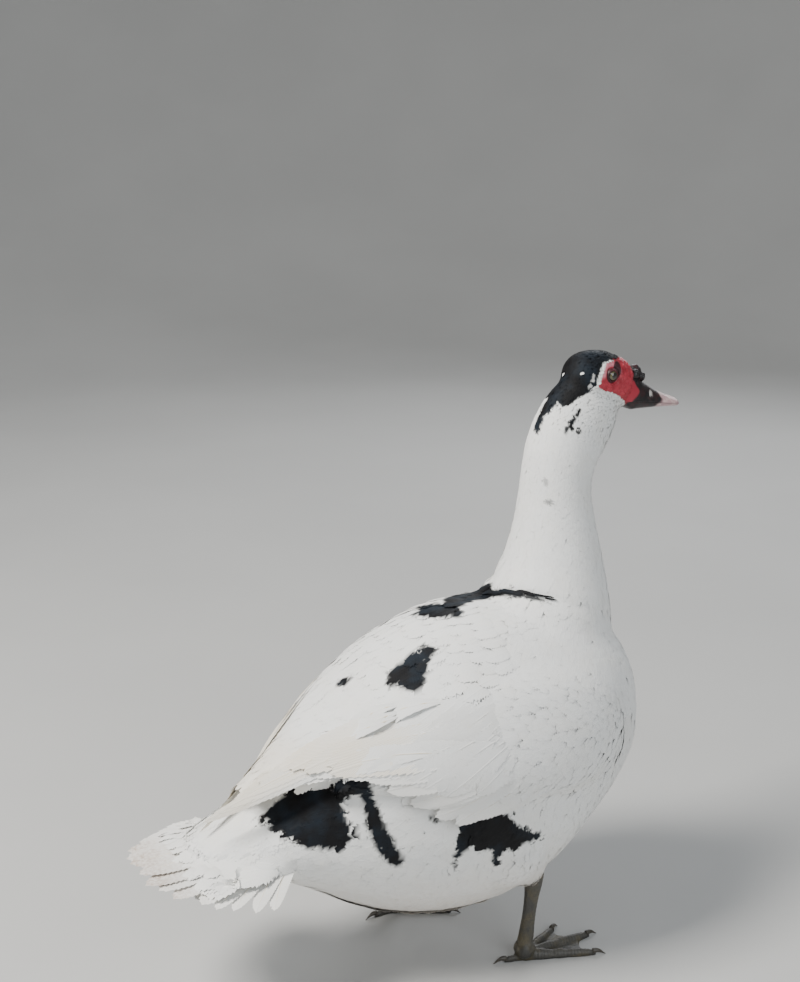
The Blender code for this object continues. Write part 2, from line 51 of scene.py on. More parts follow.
# shapes of the body that the frame was lofted from, read again where feathers need them
bodyShift = 0.0704496  # the frame's x minus the x of the rows below
head = {
    "at": Vector((0.0805 + bodyShift, 0.0, 0.4420)),
    "pitch": math.radians(13.0),
    "eye": (0.0010, 0.0127, -0.0028),
    "eyeRadius": 0.0060,
}
headTurn = Matrix.Rotation(head["pitch"], 3, "Y")
headArray = np.array(headTurn)


def fromHead(point):
    return head["at"] + headTurn @ Vector(point)


def headCoords(points):
    return (np.asarray(points) - np.array(head["at"])) @ headArray  # into the head's own frame


def smoothStep(low, high, value):
    t = np.clip((value - low) / (high - low), 0.0, 1.0)
    return t * t * (3 - 2 * t)


def mix(a, b, t):
    return a + (b - a) * t


def unit(ways, small=0.0):
    return ways / (np.linalg.norm(ways, axis=-1, keepdims=True) + small)


# mesh helpers
def meshObject(name, points, quads=None, tris=None, smooth=True):
    quads = np.zeros((0, 4), int) if quads is None else np.asarray(quads, int).reshape(-1, 4)
    tris = np.zeros((0, 3), int) if tris is None else np.asarray(tris, int).reshape(-1, 3)
    points = np.asarray(points, float)
    data = bpy.data.meshes.new(name)
    data.vertices.add(len(points))
    data.vertices.foreach_set("co", points.ravel())
    loops = np.concatenate([quads.ravel(), tris.ravel()])
    starts = np.concatenate([np.arange(len(quads)) * 4, len(quads) * 4 + np.arange(len(tris)) * 3])
    data.loops.add(len(loops))
    data.loops.foreach_set("vertex_index", loops)
    data.polygons.add(len(quads) + len(tris))
    data.polygons.foreach_set("loop_start", starts)
    data.update(calc_edges=True)
    if smooth:
        data.shade_smooth()
    made = bpy.data.objects.new(name, data)
    bpy.context.scene.collection.objects.link(made)
    return made


def pointsOf(made):
    out = np.empty(len(made.data.vertices) * 3)
    made.data.vertices.foreach_get("co", out)
    return out.reshape(-1, 3)


def trianglesOf(made):
    made.data.calc_loop_triangles()
    out = np.empty(len(made.data.loop_triangles) * 3, int)
    made.data.loop_triangles.foreach_get("vertices", out)
    return out.reshape(-1, 3)


def gathered(sources):
    # the points and triangles of several objects as one
    points, tris, offset = [], [], 0
    for source in sources:
        points.append(pointsOf(source))
        tris.append(trianglesOf(source) + offset)
        offset += len(points[-1])
    return np.concatenate(points), np.concatenate(tris)


def treeOf(points, tris):
    return BVHTree.FromPolygons([Vector(p) for p in points], tris.tolist())


def movePoints(made, points):
    made.data.vertices.foreach_set("co", np.asarray(points, float).ravel())
    made.data.update()


def normalsOf(made):
    out = np.empty(len(made.data.vertices) * 3)
    made.data.vertices.foreach_get("normal", out)
    return out.reshape(-1, 3)


def setValues(made, name, values):
    layer = made.data.attributes.new(name, "FLOAT", "POINT")
    layer.data.foreach_set("value", np.asarray(values, float))


def setUv(made, name, perPoint):
    corner = np.empty(len(made.data.loops), int)
    made.data.loops.foreach_get("vertex_index", corner)
    layer = made.data.uv_layers.new(name=name)
    layer.data.foreach_set("uv", np.asarray(perPoint, float)[corner].ravel())


def remeshed(name, sources, voxel, rounds):
    points, tris = gathered(sources)
    rough = meshObject(name + "Rough", points, tris=tris)
    step = rough.modifiers.new("join", "REMESH")
    step.mode = "VOXEL"
    step.voxel_size = voxel
    graph = bpy.context.evaluated_depsgraph_get()
    data = bpy.data.meshes.new_from_object(rough.evaluated_get(graph))
    bpy.data.objects.remove(rough, do_unlink=True)
    data.name = name
    made = bpy.data.objects.new(name, data)
    bpy.context.scene.collection.objects.link(made)
    relax(made, rounds)
    return made


def relax(made, rounds, chosen=None, factor=0.5):
    work = bmesh.new()
    work.from_mesh(made.data)
    verts = work.verts[:] if chosen is None else [v for v in work.verts if chosen(v.co)]
    for _ in range(rounds):
        bmesh.ops.smooth_vert(
            work, verts=verts, factor=factor, use_axis_x=True, use_axis_y=True, use_axis_z=True
        )
    work.to_mesh(made.data)
    work.free()
    made.data.shade_smooth()


def refine(made, chosen, rounds=2):
    work = bmesh.new()
    work.from_mesh(made.data)
    edges = [e for e in work.edges if chosen(e.verts[0].co) and chosen(e.verts[1].co)]
    bmesh.ops.subdivide_edges(work, edges=edges, cuts=1, use_grid_fill=True)
    bmesh.ops.triangulate(work, faces=[f for f in work.faces if len(f.verts) > 4])
    verts = [v for v in work.verts if chosen(v.co)]
    for _ in range(rounds):
        bmesh.ops.smooth_vert(
            work, verts=verts, factor=0.5, use_axis_x=True, use_axis_y=True, use_axis_z=True
        )
    work.to_mesh(made.data)
    work.free()
    made.data.shade_smooth()


def finishPiece(made, material, replaced=()):
    made.data.materials.clear()
    made.data.materials.append(material)
    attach(made, "root")
    if replaced:
        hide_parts(*replaced)
    return made


# markings: places on the bird, in the frame's metres, shared by skin and coat
# each patch is an outline seen from the side (x, z) or from above (x, y)
markings = {
    "cap": {
        "seen": "side", "side": 0, "ragged": 0.0004, "on": "head",
        "outline": (
            (0.1700, 0.4530), (0.1640, 0.4490), (0.1533, 0.4497), (0.1476, 0.4488), (0.1438, 0.4482),
            (0.1400, 0.4445), (0.1380, 0.4404), (0.1374, 0.4370), (0.1376, 0.4343), (0.1346, 0.4307),
            (0.1308, 0.4278), (0.1216, 0.4241), (0.1145, 0.4196), (0.1107, 0.4190), (0.1090, 0.4214),
            (0.1060, 0.4236), (0.1000, 0.4250), (0.0850, 0.4300), (0.1000, 0.4700), (0.1500, 0.4800),
            (0.1700, 0.4700),
        ),
    },
    "nape": {
        "seen": "side", "side": -1, "ragged": 0.0005, "on": "head",
        "outline": (
            (0.1110, 0.4262), (0.1098, 0.4220), (0.1062, 0.4172), (0.1035, 0.4146), (0.1000, 0.4089),
            (0.0972, 0.4030), (0.0955, 0.3985), (0.0940, 0.4000), (0.0900, 0.4080), (0.0900, 0.4300),
        ),
    },
    "neckBase": {
        "seen": "top", "side": 0, "ragged": 0.0009, "on": "body",
        "outline": (
            (0.0000, 0.0183), (0.0060, 0.0060), (0.0090, -0.0030), (0.0138, -0.0108), (0.0242, -0.0162),
            (0.0300, -0.0120), (0.0309, -0.0056), (0.0405, 0.0015), (0.0518, 0.0034), (0.0577, -0.0004),
            (0.0640, 0.0010), (0.0680, 0.0160), (0.0690, 0.0300), (0.0500, 0.0400), (0.0334, 0.0250),
            (0.0261, 0.0120), (0.0207, 0.0240), (0.0132, 0.0305), (0.0084, 0.0214),
        ),
    },
    "scapular": {
        "seen": "top", "side": 0, "ragged": 0.0006, "on": "body",
        "outline": (
            (-0.0100, -0.0250), (-0.0040, -0.0360), (-0.0140, -0.0410), (-0.0230, -0.0530), (-0.0300, -0.0570),
            (-0.0370, -0.0480), (-0.0460, -0.0350), (-0.0380, -0.0280), (-0.0240, -0.0262),
        ),
    },
    "backSpot": {
        "seen": "top", "side": 0, "ragged": 0.0006, "on": "body",
        "outline": (
            (-0.0640, 0.0110), (-0.0655, 0.0030), (-0.0625, -0.0030), (-0.0560, -0.0050), (-0.0585, 0.0040),
        ),
    },
    "flank": {
        "seen": "side", "side": -1, "ragged": 0.0016, "on": "body",
        "outline": (
            (-0.1900, 0.1480), (-0.1600, 0.1480), (-0.1400, 0.1478), (-0.1330, 0.1462), (-0.1283, 0.1421),
            (-0.1180, 0.1371), (-0.1088, 0.1317), (-0.0971, 0.1287), (-0.0862, 0.1337), (-0.0836, 0.1390),
            (-0.0858, 0.1450), (-0.0850, 0.1512), (-0.0874, 0.1646), (-0.0760, 0.1800), (-0.0700, 0.2200),
            (-0.1900, 0.2200),
        ),
    },
    "farFlank": {
        "seen": "side", "side": 1, "ragged": 0.0022, "on": "body",
        "outline": (
            (-0.1900, 0.1450), (-0.1600, 0.1460), (-0.1380, 0.1500), (-0.1220, 0.1420), (-0.1080, 0.1370),
            (-0.0930, 0.1420), (-0.0860, 0.1560), (-0.0800, 0.1720), (-0.0760, 0.2200), (-0.1900, 0.2200),
        ),
    },
    "thigh": {
        "seen": "side", "side": -1, "ragged": 0.0016, "on": "body",
        "outline": (
            (-0.0160, 0.1600), (-0.0009, 0.1660), (0.0120, 0.1700), (0.0250, 0.1480), (0.0330, 0.1370),
            (0.0440, 0.1290), (0.0574, 0.1191), (0.0480, 0.1150), (0.0400, 0.1180), (0.0330, 0.1110),
            (0.0265, 0.1170), (0.0197, 0.1020), (0.0150, 0.1170), (0.0060, 0.1190), (-0.0020, 0.1240),
            (-0.0080, 0.1190), (-0.0139, 0.1040), (-0.0135, 0.1240), (-0.0120, 0.1420),
        ),
    },
    "farThigh": {
        "seen": "side", "side": 1, "ragged": 0.0022, "on": "body",
        "outline": (
            (-0.0300, 0.1600), (0.0000, 0.1640), (0.0200, 0.1500), (0.0260, 0.1330), (0.0100, 0.1200),
            (-0.0080, 0.1120), (-0.0180, 0.1230), (-0.0260, 0.1400),
        ),
    },
}
# narrow streaks and flecks: a run of points with a radius at each, and how dark they are (below 0 they whiten)
streaks = (
    {"dark": 1.0, "side": -1, "run": (
        (-0.0760, 0.1790, 0.0030), (-0.0722, 0.1640, 0.0046), (-0.0690, 0.1490, 0.0056),
        (-0.0638, 0.1350, 0.0064), (-0.0575, 0.1235, 0.0058), (-0.0545, 0.1200, 0.0040),
    )},
    {"dark": 0.9, "side": 1, "run": ((-0.0700, 0.1740, 0.0030), (-0.0660, 0.1560, 0.0045), (-0.0590, 0.1400, 0.0040))},
    {"dark": 1.0, "side": -1, "run": ((-0.0330, 0.1530, 0.0012), (-0.0296, 0.1505, 0.0020))},
    {"dark": 1.0, "side": -1, "run": ((0.1222, 0.4168, 0.0010), (0.1186, 0.4128, 0.0014))},
    {"dark": 1.0, "side": -1, "run": ((0.1170, 0.4104, 0.0014), (0.1138, 0.4068, 0.0019), (0.1146, 0.4030, 0.0013))},
    {"dark": 0.95, "side": -1, "run": ((0.1112, 0.4046, 0.0014), (0.1100, 0.4010, 0.0010))},
    {"dark": 0.95, "side": -1, "run": ((0.1194, 0.4022, 0.0017), (0.1189, 0.4012, 0.0017))},
    {"dark": 0.70, "side": 1, "run": ((0.1190, 0.4150, 0.0012), (0.1150, 0.4080, 0.0016))},
    {"dark": 0.45, "side": -1, "run": ((0.0953, 0.3660, 0.0010), (0.0956, 0.3630, 0.0014))},
    {"dark": 0.60, "side": -1, "run": ((0.0968, 0.3500, 0.0024), (0.0985, 0.3494, 0.0018))},
    {"dark": -0.7, "side": -1, "run": ((0.1352, 0.4400, 0.0009), (0.1340, 0.4366, 0.0009))},
    {"dark": -0.6, "side": -1, "run": ((0.1318, 0.4310, 0.0008), (0.1330, 0.4330, 0.0007))},
)
# the dark line along the crease where the shoulder feathers meet the neck, seen from above: black feathers, and painted
# shadow in the fold
creaseBlackAndShadowRun = (
    (0.0610, 0.0120, 0.0026), (0.0645, -0.0062, 0.0024), (0.0725, -0.0216, 0.0018), (0.0800, -0.0305, 0.0012),
    (0.0872, -0.0369, 0.0005),
)
# the fold itself, right round the neck's base: x, y, z and how deep
collarFold = (
    (0.0610, 0.0000, 0.2795, 1.0), (0.0645, -0.0062, 0.2819, 1.0), (0.0725, -0.0216, 0.2846, 1.0),
    (0.0872, -0.0369, 0.2831, 0.8), (0.0948, -0.0416, 0.2802, 0.6), (0.1095, -0.0461, 0.2746, 0.5),
    (0.1286, -0.0445, 0.2647, 0.4), (0.1493, -0.0309, 0.2497, 0.2),
)


def outlineDepth(a, b, outline):
    best = np.full(len(a), 1e9)
    inside = np.zeros(len(a), bool)
    for (x0, y0), (x1, y1) in zip(outline, outline[1:] + outline[:1]):
        ex, ey = x1 - x0, y1 - y0
        t = np.clip(((a - x0) * ex + (b - y0) * ey) / (ex * ex + ey * ey), 0, 1)
        best = np.minimum(best, np.hypot(a - x0 - t * ex, b - y0 - t * ey))
        crosses = (y0 > b) != (y1 > b)
        if y1 != y0:
            inside ^= crosses & (a < x0 + (b - y0) * ex / (y1 - y0))
    return np.where(inside, best, -best)


def runDepth(a, b, run):
    best = np.full(len(a), -1e9)
    for (x0, y0, r0), (x1, y1, r1) in zip(run, run[1:]):
        ex, ey = x1 - x0, y1 - y0
        t = np.clip(((a - x0) * ex + (b - y0) * ey) / max(ex * ex + ey * ey, 1e-12), 0, 1)
        gap = mix(r0, r1, t) - np.hypot(a - x0 - t * ex, b - y0 - t * ey)
        best = np.maximum(best, gap)
    return best


def waveNoise(points, size, seed=0):
    # smooth value about -1 to 1 that wanders over the given size
    p = np.asarray(points) / size
    total = np.zeros(len(p))
    rng = np.random.default_rng(100 + seed)
    for _ in range(7):
        direction = rng.normal(size=3)
        direction *= rng.uniform(0.7, 1.7) * 2 * math.pi / np.linalg.norm(direction) / 2.2
        total += np.sin(p @ direction + rng.uniform(0, 2 * math.pi))
    return total / 3.2


def darkAt(points, jitter=None, seen=("side", "top")):
    # 0 white, 1 black, from the places above
    points = np.asarray(points, float)
    x, y, z = points.T
    jitter = np.zeros(len(x)) if jitter is None else jitter
    rough = 0.6 * waveNoise(points, 0.0045, 1) + 0.4 * waveNoise(points, 0.0018, 2)
    dark = np.zeros(len(x))
    for name, patch in markings.items():
        if patch["seen"] not in seen:
            continue
        a, b = (x, z) if patch["seen"] == "side" else (x, y)
        near = (a > min(p[0] for p in patch["outline"]) - 0.006) & (a < max(p[0] for p in patch["outline"]) + 0.006)
        if patch["side"]:
            near &= y * patch["side"] > -0.002
        near &= z > 0.36 if patch["on"] == "head" else z < 0.30
        if patch["seen"] == "side" and patch["on"] == "body":
            near &= np.abs(y) > 0.018
        if patch["seen"] == "top":
            near &= z > 0.18
        if not near.any():
            continue
        depth = outlineDepth(a[near], b[near], patch["outline"])
        depth = depth + patch["ragged"] * (rough[near] + jitter[near])
        dark[near] = np.maximum(dark[near], smoothStep(-0.0003, 0.0003, depth))
    # the crease line: black feathers, and painted shadow in the fold
    crease = runDepth(x, y, creaseBlackAndShadowRun) + 0.0004 * jitter
    crease = smoothStep(-0.0006, 0.0006, crease) * (z > 0.26) * (z < 0.30)
    dark = np.maximum(dark, 0.95 * crease)
    for streak in streaks if "side" in seen else ():
        depth = runDepth(x, z, streak["run"]) + 0.0005 * (rough + jitter)
        amount = smoothStep(-0.0005, 0.0005, depth)
        if streak["side"]:
            amount = amount * (y * streak["side"] > 0)
        amount = amount * (z > 0.34 if streak["run"][0][1] > 0.34 else z < 0.30)
        if streak["dark"] > 0:
            dark = np.maximum(dark, streak["dark"] * amount)
        else:
            dark = dark * (1 + streak["dark"] * amount)
    return dark


# bare red face, seen from the side in the frame's x and z
faceOutline = (
    (0.1476, 0.4482), (0.1540, 0.4500), (0.1640, 0.4500), (0.1690, 0.4560), (0.1900, 0.4560), (0.1900, 0.4000),
    (0.1740, 0.4075), (0.1700, 0.4140), (0.1662, 0.4172), (0.1607, 0.4216), (0.1538, 0.4249), (0.1436, 0.4285),
    (0.1384, 0.4324), (0.1408, 0.4370), (0.1430, 0.4427),
)


def bareAt(points):
    points = np.asarray(points, float)
    x, y, z = points.T
    depth = np.full(len(x), -0.02)
    near = (x > 0.12) & (z > 0.38)
    ragged = 0.0004 * waveNoise(points[near], 0.003, 5)
    depth[near] = outlineDepth(x[near], z[near], faceOutline) + ragged
    return depth


tell("settings")

# skin
skinSet = {
    "voxel": 0.0025, "relax": 4,
    "bodyDepth": 0.0034, "neckDepth": 0.0021, "headDepth": 0.0011, "foldDepth": 0.0024, "foldWide": 0.0045,
    "lidOpening": (0.0042, 0.0039), "lidThick": 0.00045, "lidTurn": -14.0,
    "warts": 420, "wartX": (-0.012, 0.030), "wartZ": (-0.034, 0.012), "wartSize": (0.0005, 0.0011),
}
fleshNames = [
    "head", "face_left", "face_right", "neck_upper", "neck_lower", "breast", "trunk", "rump",
    "thigh_left", "thigh_right", "wing_left", "wing_right",
]
skin = remeshed("skin", [nodes[n] for n in fleshNames], skinSet["voxel"], skinSet["relax"])


def nearHead(co):
    return co.z > 0.398 and co.x > 0.09


def nearFace(co):
    return co.x > 0.130 and co.z > 0.405


def nearEye(co):
    h = headTurn.transposed() @ (co - head["at"])
    return (h.x - head["eye"][0]) ** 2 + (h.z - head["eye"][2]) ** 2 < 0.0085 ** 2 and abs(h.y) > 0.006


def nearShoulder(co):
    return -0.004 < co.x < 0.150 and abs(co.y) > 0.042 and 0.105 < co.z < 0.262


# the wing's front edge melts into the breast
relax(skin, 60, nearShoulder)
refine(skin, nearHead)
refine(skin, nearFace)
refine(skin, nearEye)
tell(f"skin joined, {len(skin.data.polygons)} faces")


def skinDepth(points):
    # how deep the skin lies under the coat's outer shape
    x, y, z = points.T
    depth = mix(skinSet["bodyDepth"], skinSet["neckDepth"], smoothStep(0.270, 0.320, z))
    depth = mix(depth, skinSet["headDepth"], smoothStep(0.375, 0.415, z) * smoothStep(0.085, 0.10, x))
    bare = smoothStep(-0.0035, 0.0004, bareAt(points))
    depth = depth * (1 - bare)
    lowLeg = smoothStep(0.105, 0.070, z)
    depth = mix(depth, 0.0016, lowLeg * (abs(y) > 0.03))
    return depth


def foldAt(points):
    # the groove where the body's feathers close round the neck, both sides alike
    around = np.where(points[:, 1:2] > 0, points * np.array((1, -1, 1)), points)
    fold = np.zeros(len(points))
    for a, b in zip(collarFold, collarFold[1:]):
        start, run = np.array(a[:3]), np.array(b[:3]) - np.array(a[:3])
        t = np.clip((around - start) @ run / (run @ run), 0, 1)
        gap = np.linalg.norm(around - start - t[:, None] * run, axis=1)
        fold = np.maximum(fold, mix(a[3], b[3], t) * np.exp(-((gap / skinSet["foldWide"]) ** 2)))
    return fold


def sculptFace(points, normals):
    h = headCoords(points)
    side = np.sign(h[:, 1])
    bare = smoothStep(-0.0002, 0.0012, bareAt(points))
    # small warts, fine over the lores and coarser near the bill and over the eye
    rng = np.random.default_rng(7)
    seedsX, seedsZ, sizes = [rng.uniform(*skinSet[key], skinSet["warts"]) for key in ("wartX", "wartZ", "wartSize")]
    wart = np.zeros(len(h))
    near = bare > 0.02
    hn = h[near]
    for sx, sz, size in zip(seedsX, seedsZ, sizes):
        size = size * (1.0 + 0.5 * max(sx - 0.010, 0) / 0.02)
        d2 = ((hn[:, 0] - sx) ** 2 + (hn[:, 2] - sz) ** 2) / size ** 2
        wart[near] = np.maximum(wart[near], np.where(d2 < 1, (1 - d2) * size * 0.42, 0))
    ex, ey, ez = head["eye"]
    dx, dz = h[:, 0] - ex, h[:, 2] - ez
    rho = np.hypot(dx, dz)
    wart *= smoothStep(0.0060, 0.0090, rho)
    points = points + normals * (bare * wart)[:, None]
    # ring folds round the eye and one fold running back and down from it
    ring = np.sin((rho - 0.0062) / 0.00115 * 2 * math.pi) * 0.00016
    ring *= smoothStep(0.0058, 0.0066, rho) * smoothStep(0.0098, 0.0080, rho) * bare
    points = points + normals * ring[:, None]
    h = headCoords(points)
    # socket and lids: the skin follows a shell over the eyeball and dives behind the lid's edge
    a, b = skinSet["lidOpening"]
    turn = math.radians(skinSet["lidTurn"])
    ax = dx * math.cos(turn) + dz * math.sin(turn)
    az = -dx * math.sin(turn) + dz * math.cos(turn)
    oval = np.sqrt((ax / a) ** 2 + (az / b) ** 2)
    lids = head["eyeRadius"] + skinSet["lidThick"] + 0.0004 * smoothStep(1.5, 1.0, oval)
    shell = ey + np.sqrt(np.maximum(lids ** 2 - rho ** 2, 0))
    width = np.abs(h[:, 1])
    blend = smoothStep(0.0098, 0.0062, rho) * (width > 0.006)
    width = mix(width, np.maximum(width, shell), blend)
    hole = (oval < 1.0) & (width > 0.006)
    deep = ey + np.sqrt(np.maximum((head["eyeRadius"] - 0.0013) ** 2 - rho ** 2, 0))
    width = np.where(hole, mix(width, deep, smoothStep(1.0, 0.90, oval)), width)
    moved = h.copy()
    moved[:, 1] = np.where(np.abs(h[:, 1]) > 0.006, side * width, h[:, 1])
    return moved @ headArray.T + np.array(head["at"])


def buildSkin():
    points = pointsOf(skin)
    normals = normalsOf(skin)
    depth = skinDepth(points) + skinSet["foldDepth"] * foldAt(points)
    points = points - normals * depth[:, None]
    movePoints(skin, points)
    relax(skin, 2, lambda co: co.z < 0.39)
    points = sculptFace(pointsOf(skin), normalsOf(skin))
    movePoints(skin, points)
    setValues(skin, "dark", darkAt(points))
    setValues(skin, "bare", smoothStep(-0.0003, 0.0003, bareAt(points)))


buildSkin()
tell(f"skin sculpted, {sum(len(p.vertices) - 2 for p in skin.data.polygons)} triangles")

# the skin's surface, for rooting feathers
skinPoints = pointsOf(skin)
skinNormals = normalsOf(skin)
skinTris = trianglesOf(skin)
skinTree = treeOf(skinPoints, skinTris)
edgeEnds = np.empty(len(skin.data.edges) * 2, int)
skin.data.edges.foreach_get("vertices", edgeEnds)
edgeEnds = edgeEnds.reshape(-1, 2)
calmNormals = skinNormals.copy()
for _ in range(6):
    total = calmNormals.copy()
    np.add.at(total, edgeEnds[:, 0], calmNormals[edgeEnds[:, 1]])
    np.add.at(total, edgeEnds[:, 1], calmNormals[edgeEnds[:, 0]])
    calmNormals = unit(total)
triNormals = calmNormals[skinTris].mean(1)
triNormals = unit(triNormals)

# which node each feather belongs to, by the nearest face of the flesh nodes
cadTree = treeOf(*gathered([nodes[name] for name in fleshNames]))
cadOwner = [name for name in fleshNames for _ in trianglesOf(nodes[name])]


def ownerOf(points):
    return np.array([cadOwner[cadTree.find_nearest(Vector(p))[2]] for p in points])


# which way the feathers lie: along a line from the bill over the head, down the neck and back to the tail
flowLine = np.array([
    (0.205, 0.418), (0.176, 0.436), (0.150, 0.446), (0.128, 0.440), (0.115, 0.422), (0.1140, 0.395),
    (0.114, 0.355), (0.1125, 0.310), (0.100, 0.262), (0.060, 0.205), (0.000, 0.168), (-0.080, 0.150),
    (-0.160, 0.135), (-0.225, 0.122),
])


def flowSamples(count=70):
    lengths = np.concatenate([[0], np.cumsum(np.linalg.norm(np.diff(flowLine, axis=0), axis=1))])
    at = np.linspace(0, lengths[-1], count)
    x = np.interp(at, lengths, flowLine[:, 0])
    z = np.interp(at, lengths, flowLine[:, 1])
    dx, dz = np.gradient(x), np.gradient(z)
    size = np.hypot(dx, dz)
    return np.stack([x, np.zeros(count), z], 1), np.stack([dx / size, np.zeros(count), dz / size], 1), at / lengths[-1]


flowAt, flowWay, flowShare = flowSamples()
hocks = {-1: np.array((0.0705, -0.0530, 0.060)), 1: np.array((-0.0056, 0.0530, 0.060))}


def flowOf(points, normals, owners):
    d2 = ((points[:, None, :] - flowAt[None]) ** 2).sum(2)
    nearest = d2.min(1)
    weight = np.exp(-(d2 - nearest[:, None]) / (2 * (0.018 + 0.25 * np.sqrt(nearest)[:, None]) ** 2))
    weight /= weight.sum(1)[:, None]
    way = weight @ flowWay
    share = weight @ flowShare
    x, y, z = points.T
    # down the thighs
    for side, hock in hocks.items():
        gap = np.linalg.norm((points - hock) * np.array((1, 1, 0.6)), axis=1)
        pull = smoothStep(0.050, 0.020, gap) * (y * side > 0)
        down = np.tile(np.array((-0.25, 0, -1.0)), (len(points), 1))
        way = way * (1 - pull[:, None]) + down * pull[:, None]
    # wings: back along the wing and a little down
    isWing = np.char.startswith(owners.astype(str), "wing")
    wingWay = np.stack([np.full(len(x), -1.0), np.zeros(len(x)), mix(-0.30, 0.05, smoothStep(0.18, 0.235, z))], 1)
    way[isWing] = wingWay[isWing]
    # breast and flanks sweep outwards and down round the keel
    flank = smoothStep(0.20, 0.10, z) * (x > -0.05) * (x < 0.14) * ~isWing
    way[:, 2] -= 0.35 * flank * np.abs(normals[:, 1])
    way = way - normals * (way * normals).sum(1)[:, None]
    way = unit(way, 1e-9)
    return way, share


# feather sizes by place: spacing of the roots, in metres
def rootSpacing(points):
    x, y, z = points.T
    trunkSize = 0.0031 + 0.0011 * smoothStep(0.10, -0.08, x)
    neckSize = mix(0.0031, 0.0018, smoothStep(0.265, 0.385, z))
    size = mix(trunkSize, neckSize, smoothStep(0.245, 0.285, z))
    headSize = mix(0.0017, 0.00130, smoothStep(0.105, 0.135, x))
    size = mix(size, headSize, smoothStep(0.385, 0.410, z))
    size = np.where(z < 0.11, mix(size, 0.0027, smoothStep(0.11, 0.075, z)), size)
    return size


def crowded(grid, key, reach, p, r2):
    # whether a root already kept lies nearer than the spacing
    for ax in range(key[0] - reach, key[0] + reach + 1):
        for ay in range(key[1] - reach, key[1] + reach + 1):
            for az in range(key[2] - reach, key[2] + reach + 1):
                for q in grid.get((ax, ay, az), ()):
                    if (p[0] - q[0]) ** 2 + (p[1] - q[1]) ** 2 + (p[2] - q[2]) ** 2 < r2:
                        return True
    return False


def scatterRoots(seed):
    rng = np.random.default_rng(seed)
    corner = skinPoints[skinTris]
    area = np.linalg.norm(np.cross(corner[:, 1] - corner[:, 0], corner[:, 2] - corner[:, 0]), axis=1) / 2
    middle = corner.mean(1)
    spacing = rootSpacing(middle)
    weight = area / spacing ** 2
    count = int(weight.sum() * 3.4)
    chosen = rng.choice(len(area), count, p=weight / weight.sum())
    r1, r2 = np.sqrt(rng.random(count)), rng.random(count)
    bary = np.stack([1 - r1, r1 * (1 - r2), r1 * r2], 1)
    points = (corner[chosen] * bary[:, :, None]).sum(1)
    sizes = spacing[chosen]
    bare = bareAt(points)
    keep = bare < 0.0006
    points, sizes, chosen = points[keep], sizes[keep], chosen[keep]
    cell = 0.004
    grid = {}
    kept = []
    keys = np.floor(points / cell).astype(int)
    for i in range(len(points)):
        reach = int(sizes[i] / cell) + 1
        kx, ky, kz = keys[i]
        p = points[i]
        r2 = sizes[i] ** 2
        if not crowded(grid, (kx, ky, kz), reach, p, r2):
            grid.setdefault((kx, ky, kz), []).append((p[0], p[1], p[2]))
            kept.append(i)
    kept = np.array(kept)
    return points[kept], triNormals[chosen[kept]], sizes[kept]


roots, rootNormals, rootSizes = scatterRoots(11)
rootOwners = ownerOf(roots + rootNormals * 0.003)
tell(f"{len(roots)} feather roots")


# one vane: a shaft, barbs that stay together for most of their length and end in points
def vaneTemplate(rows, roundTip=1.0, skew=0.10, solid=0.80):
    steps = np.arange(rows + 1) / rows
    spineU = 0.01 + 0.91 * steps

    def rim(t):
        u = skew + (1 - skew) * t ** 0.92
        rise = 1 - (1 - np.clip(u / 0.55, 0, 1)) ** 2.2
        fall = np.sqrt(np.clip(1 - (np.clip((u - 0.55) / 0.45, 0, 1) * 0.985) ** (2.0 * roundTip), 0, 1))
        return u, np.where(u < 0.55, rise, fall)

    rimU, rimV = rim(steps)
    # solid: the share of the width where the barbs hold together
    midU, midV = spineU + solid * (rimU - spineU), solid * rimV
    halfway = (np.arange(rows) + 0.6) / rows
    tipU, tipV = rim(halfway)
    shaftU = 0.01 + 0.91 * halfway
    tipU, tipV = shaftU + 1.05 * (tipU - shaftU), 1.03 * tipV
    u = np.concatenate([spineU, midU, midU, tipU, tipU, [1.02]])
    v = np.concatenate([0 * spineU, midV, -midV, tipV, -tipV, [0.0]])
    n = rows + 1
    kind = np.concatenate([np.zeros(n), np.ones(2 * n), np.full(2 * rows + 1, 2)])
    i = np.arange(rows)
    quads = np.concatenate([
        np.stack([i, i + 1, n + i + 1, n + i], 1),
        np.stack([i + 1, i, 2 * n + i, 2 * n + i + 1], 1),
    ])
    tris = np.concatenate([
        np.stack([n + i, n + i + 1, 3 * n + i], 1),
        np.stack([2 * n + i + 1, 2 * n + i, 3 * n + rows + i], 1),
        [[rows, 3 * n + 2 * rows, n + rows], [rows, 2 * n + rows, 3 * n + 2 * rows]],
    ])
    return {"u": u, "v": v, "kind": kind, "quads": quads, "tris": tris}


def followSkin(start, ways, lengths, steps=3, tree=None, faces=None):
    tree = skinTree if tree is None else tree
    faces = triNormals if faces is None else faces
    count = len(start)
    stations = np.zeros((count, steps + 1, 3))
    ups = np.zeros((count, steps + 1, 3))
    for i in range(count):
        p = Vector(start[i])
        way = Vector(ways[i])
        step = lengths[i] / steps
        hit, _, face, _ = tree.find_nearest(p)
        up = Vector(faces[face])
        stations[i, 0] = p
        ups[i, 0] = up
        for k in range(1, steps + 1):
            hit, _, face, _ = tree.find_nearest(p + way * step)
            up = Vector(faces[face])
            turned = hit - p
            turned -= up * turned.dot(up)
            if turned.length > 1e-6:
                way = (way * 0.3 + turned.normalized() * 0.7).normalized()
            p = hit
            stations[i, k] = p
            ups[i, k] = up
    return stations, ups


lagrangeAt = np.array([0, 1 / 3, 2 / 3, 1.0])


def lagrange(u):
    out = np.ones((len(u), 4))
    for j in range(4):
        for k in range(4):
            if k != j:
                out[:, j] *= (u - lagrangeAt[k]) / (lagrangeAt[j] - lagrangeAt[k])
    return out


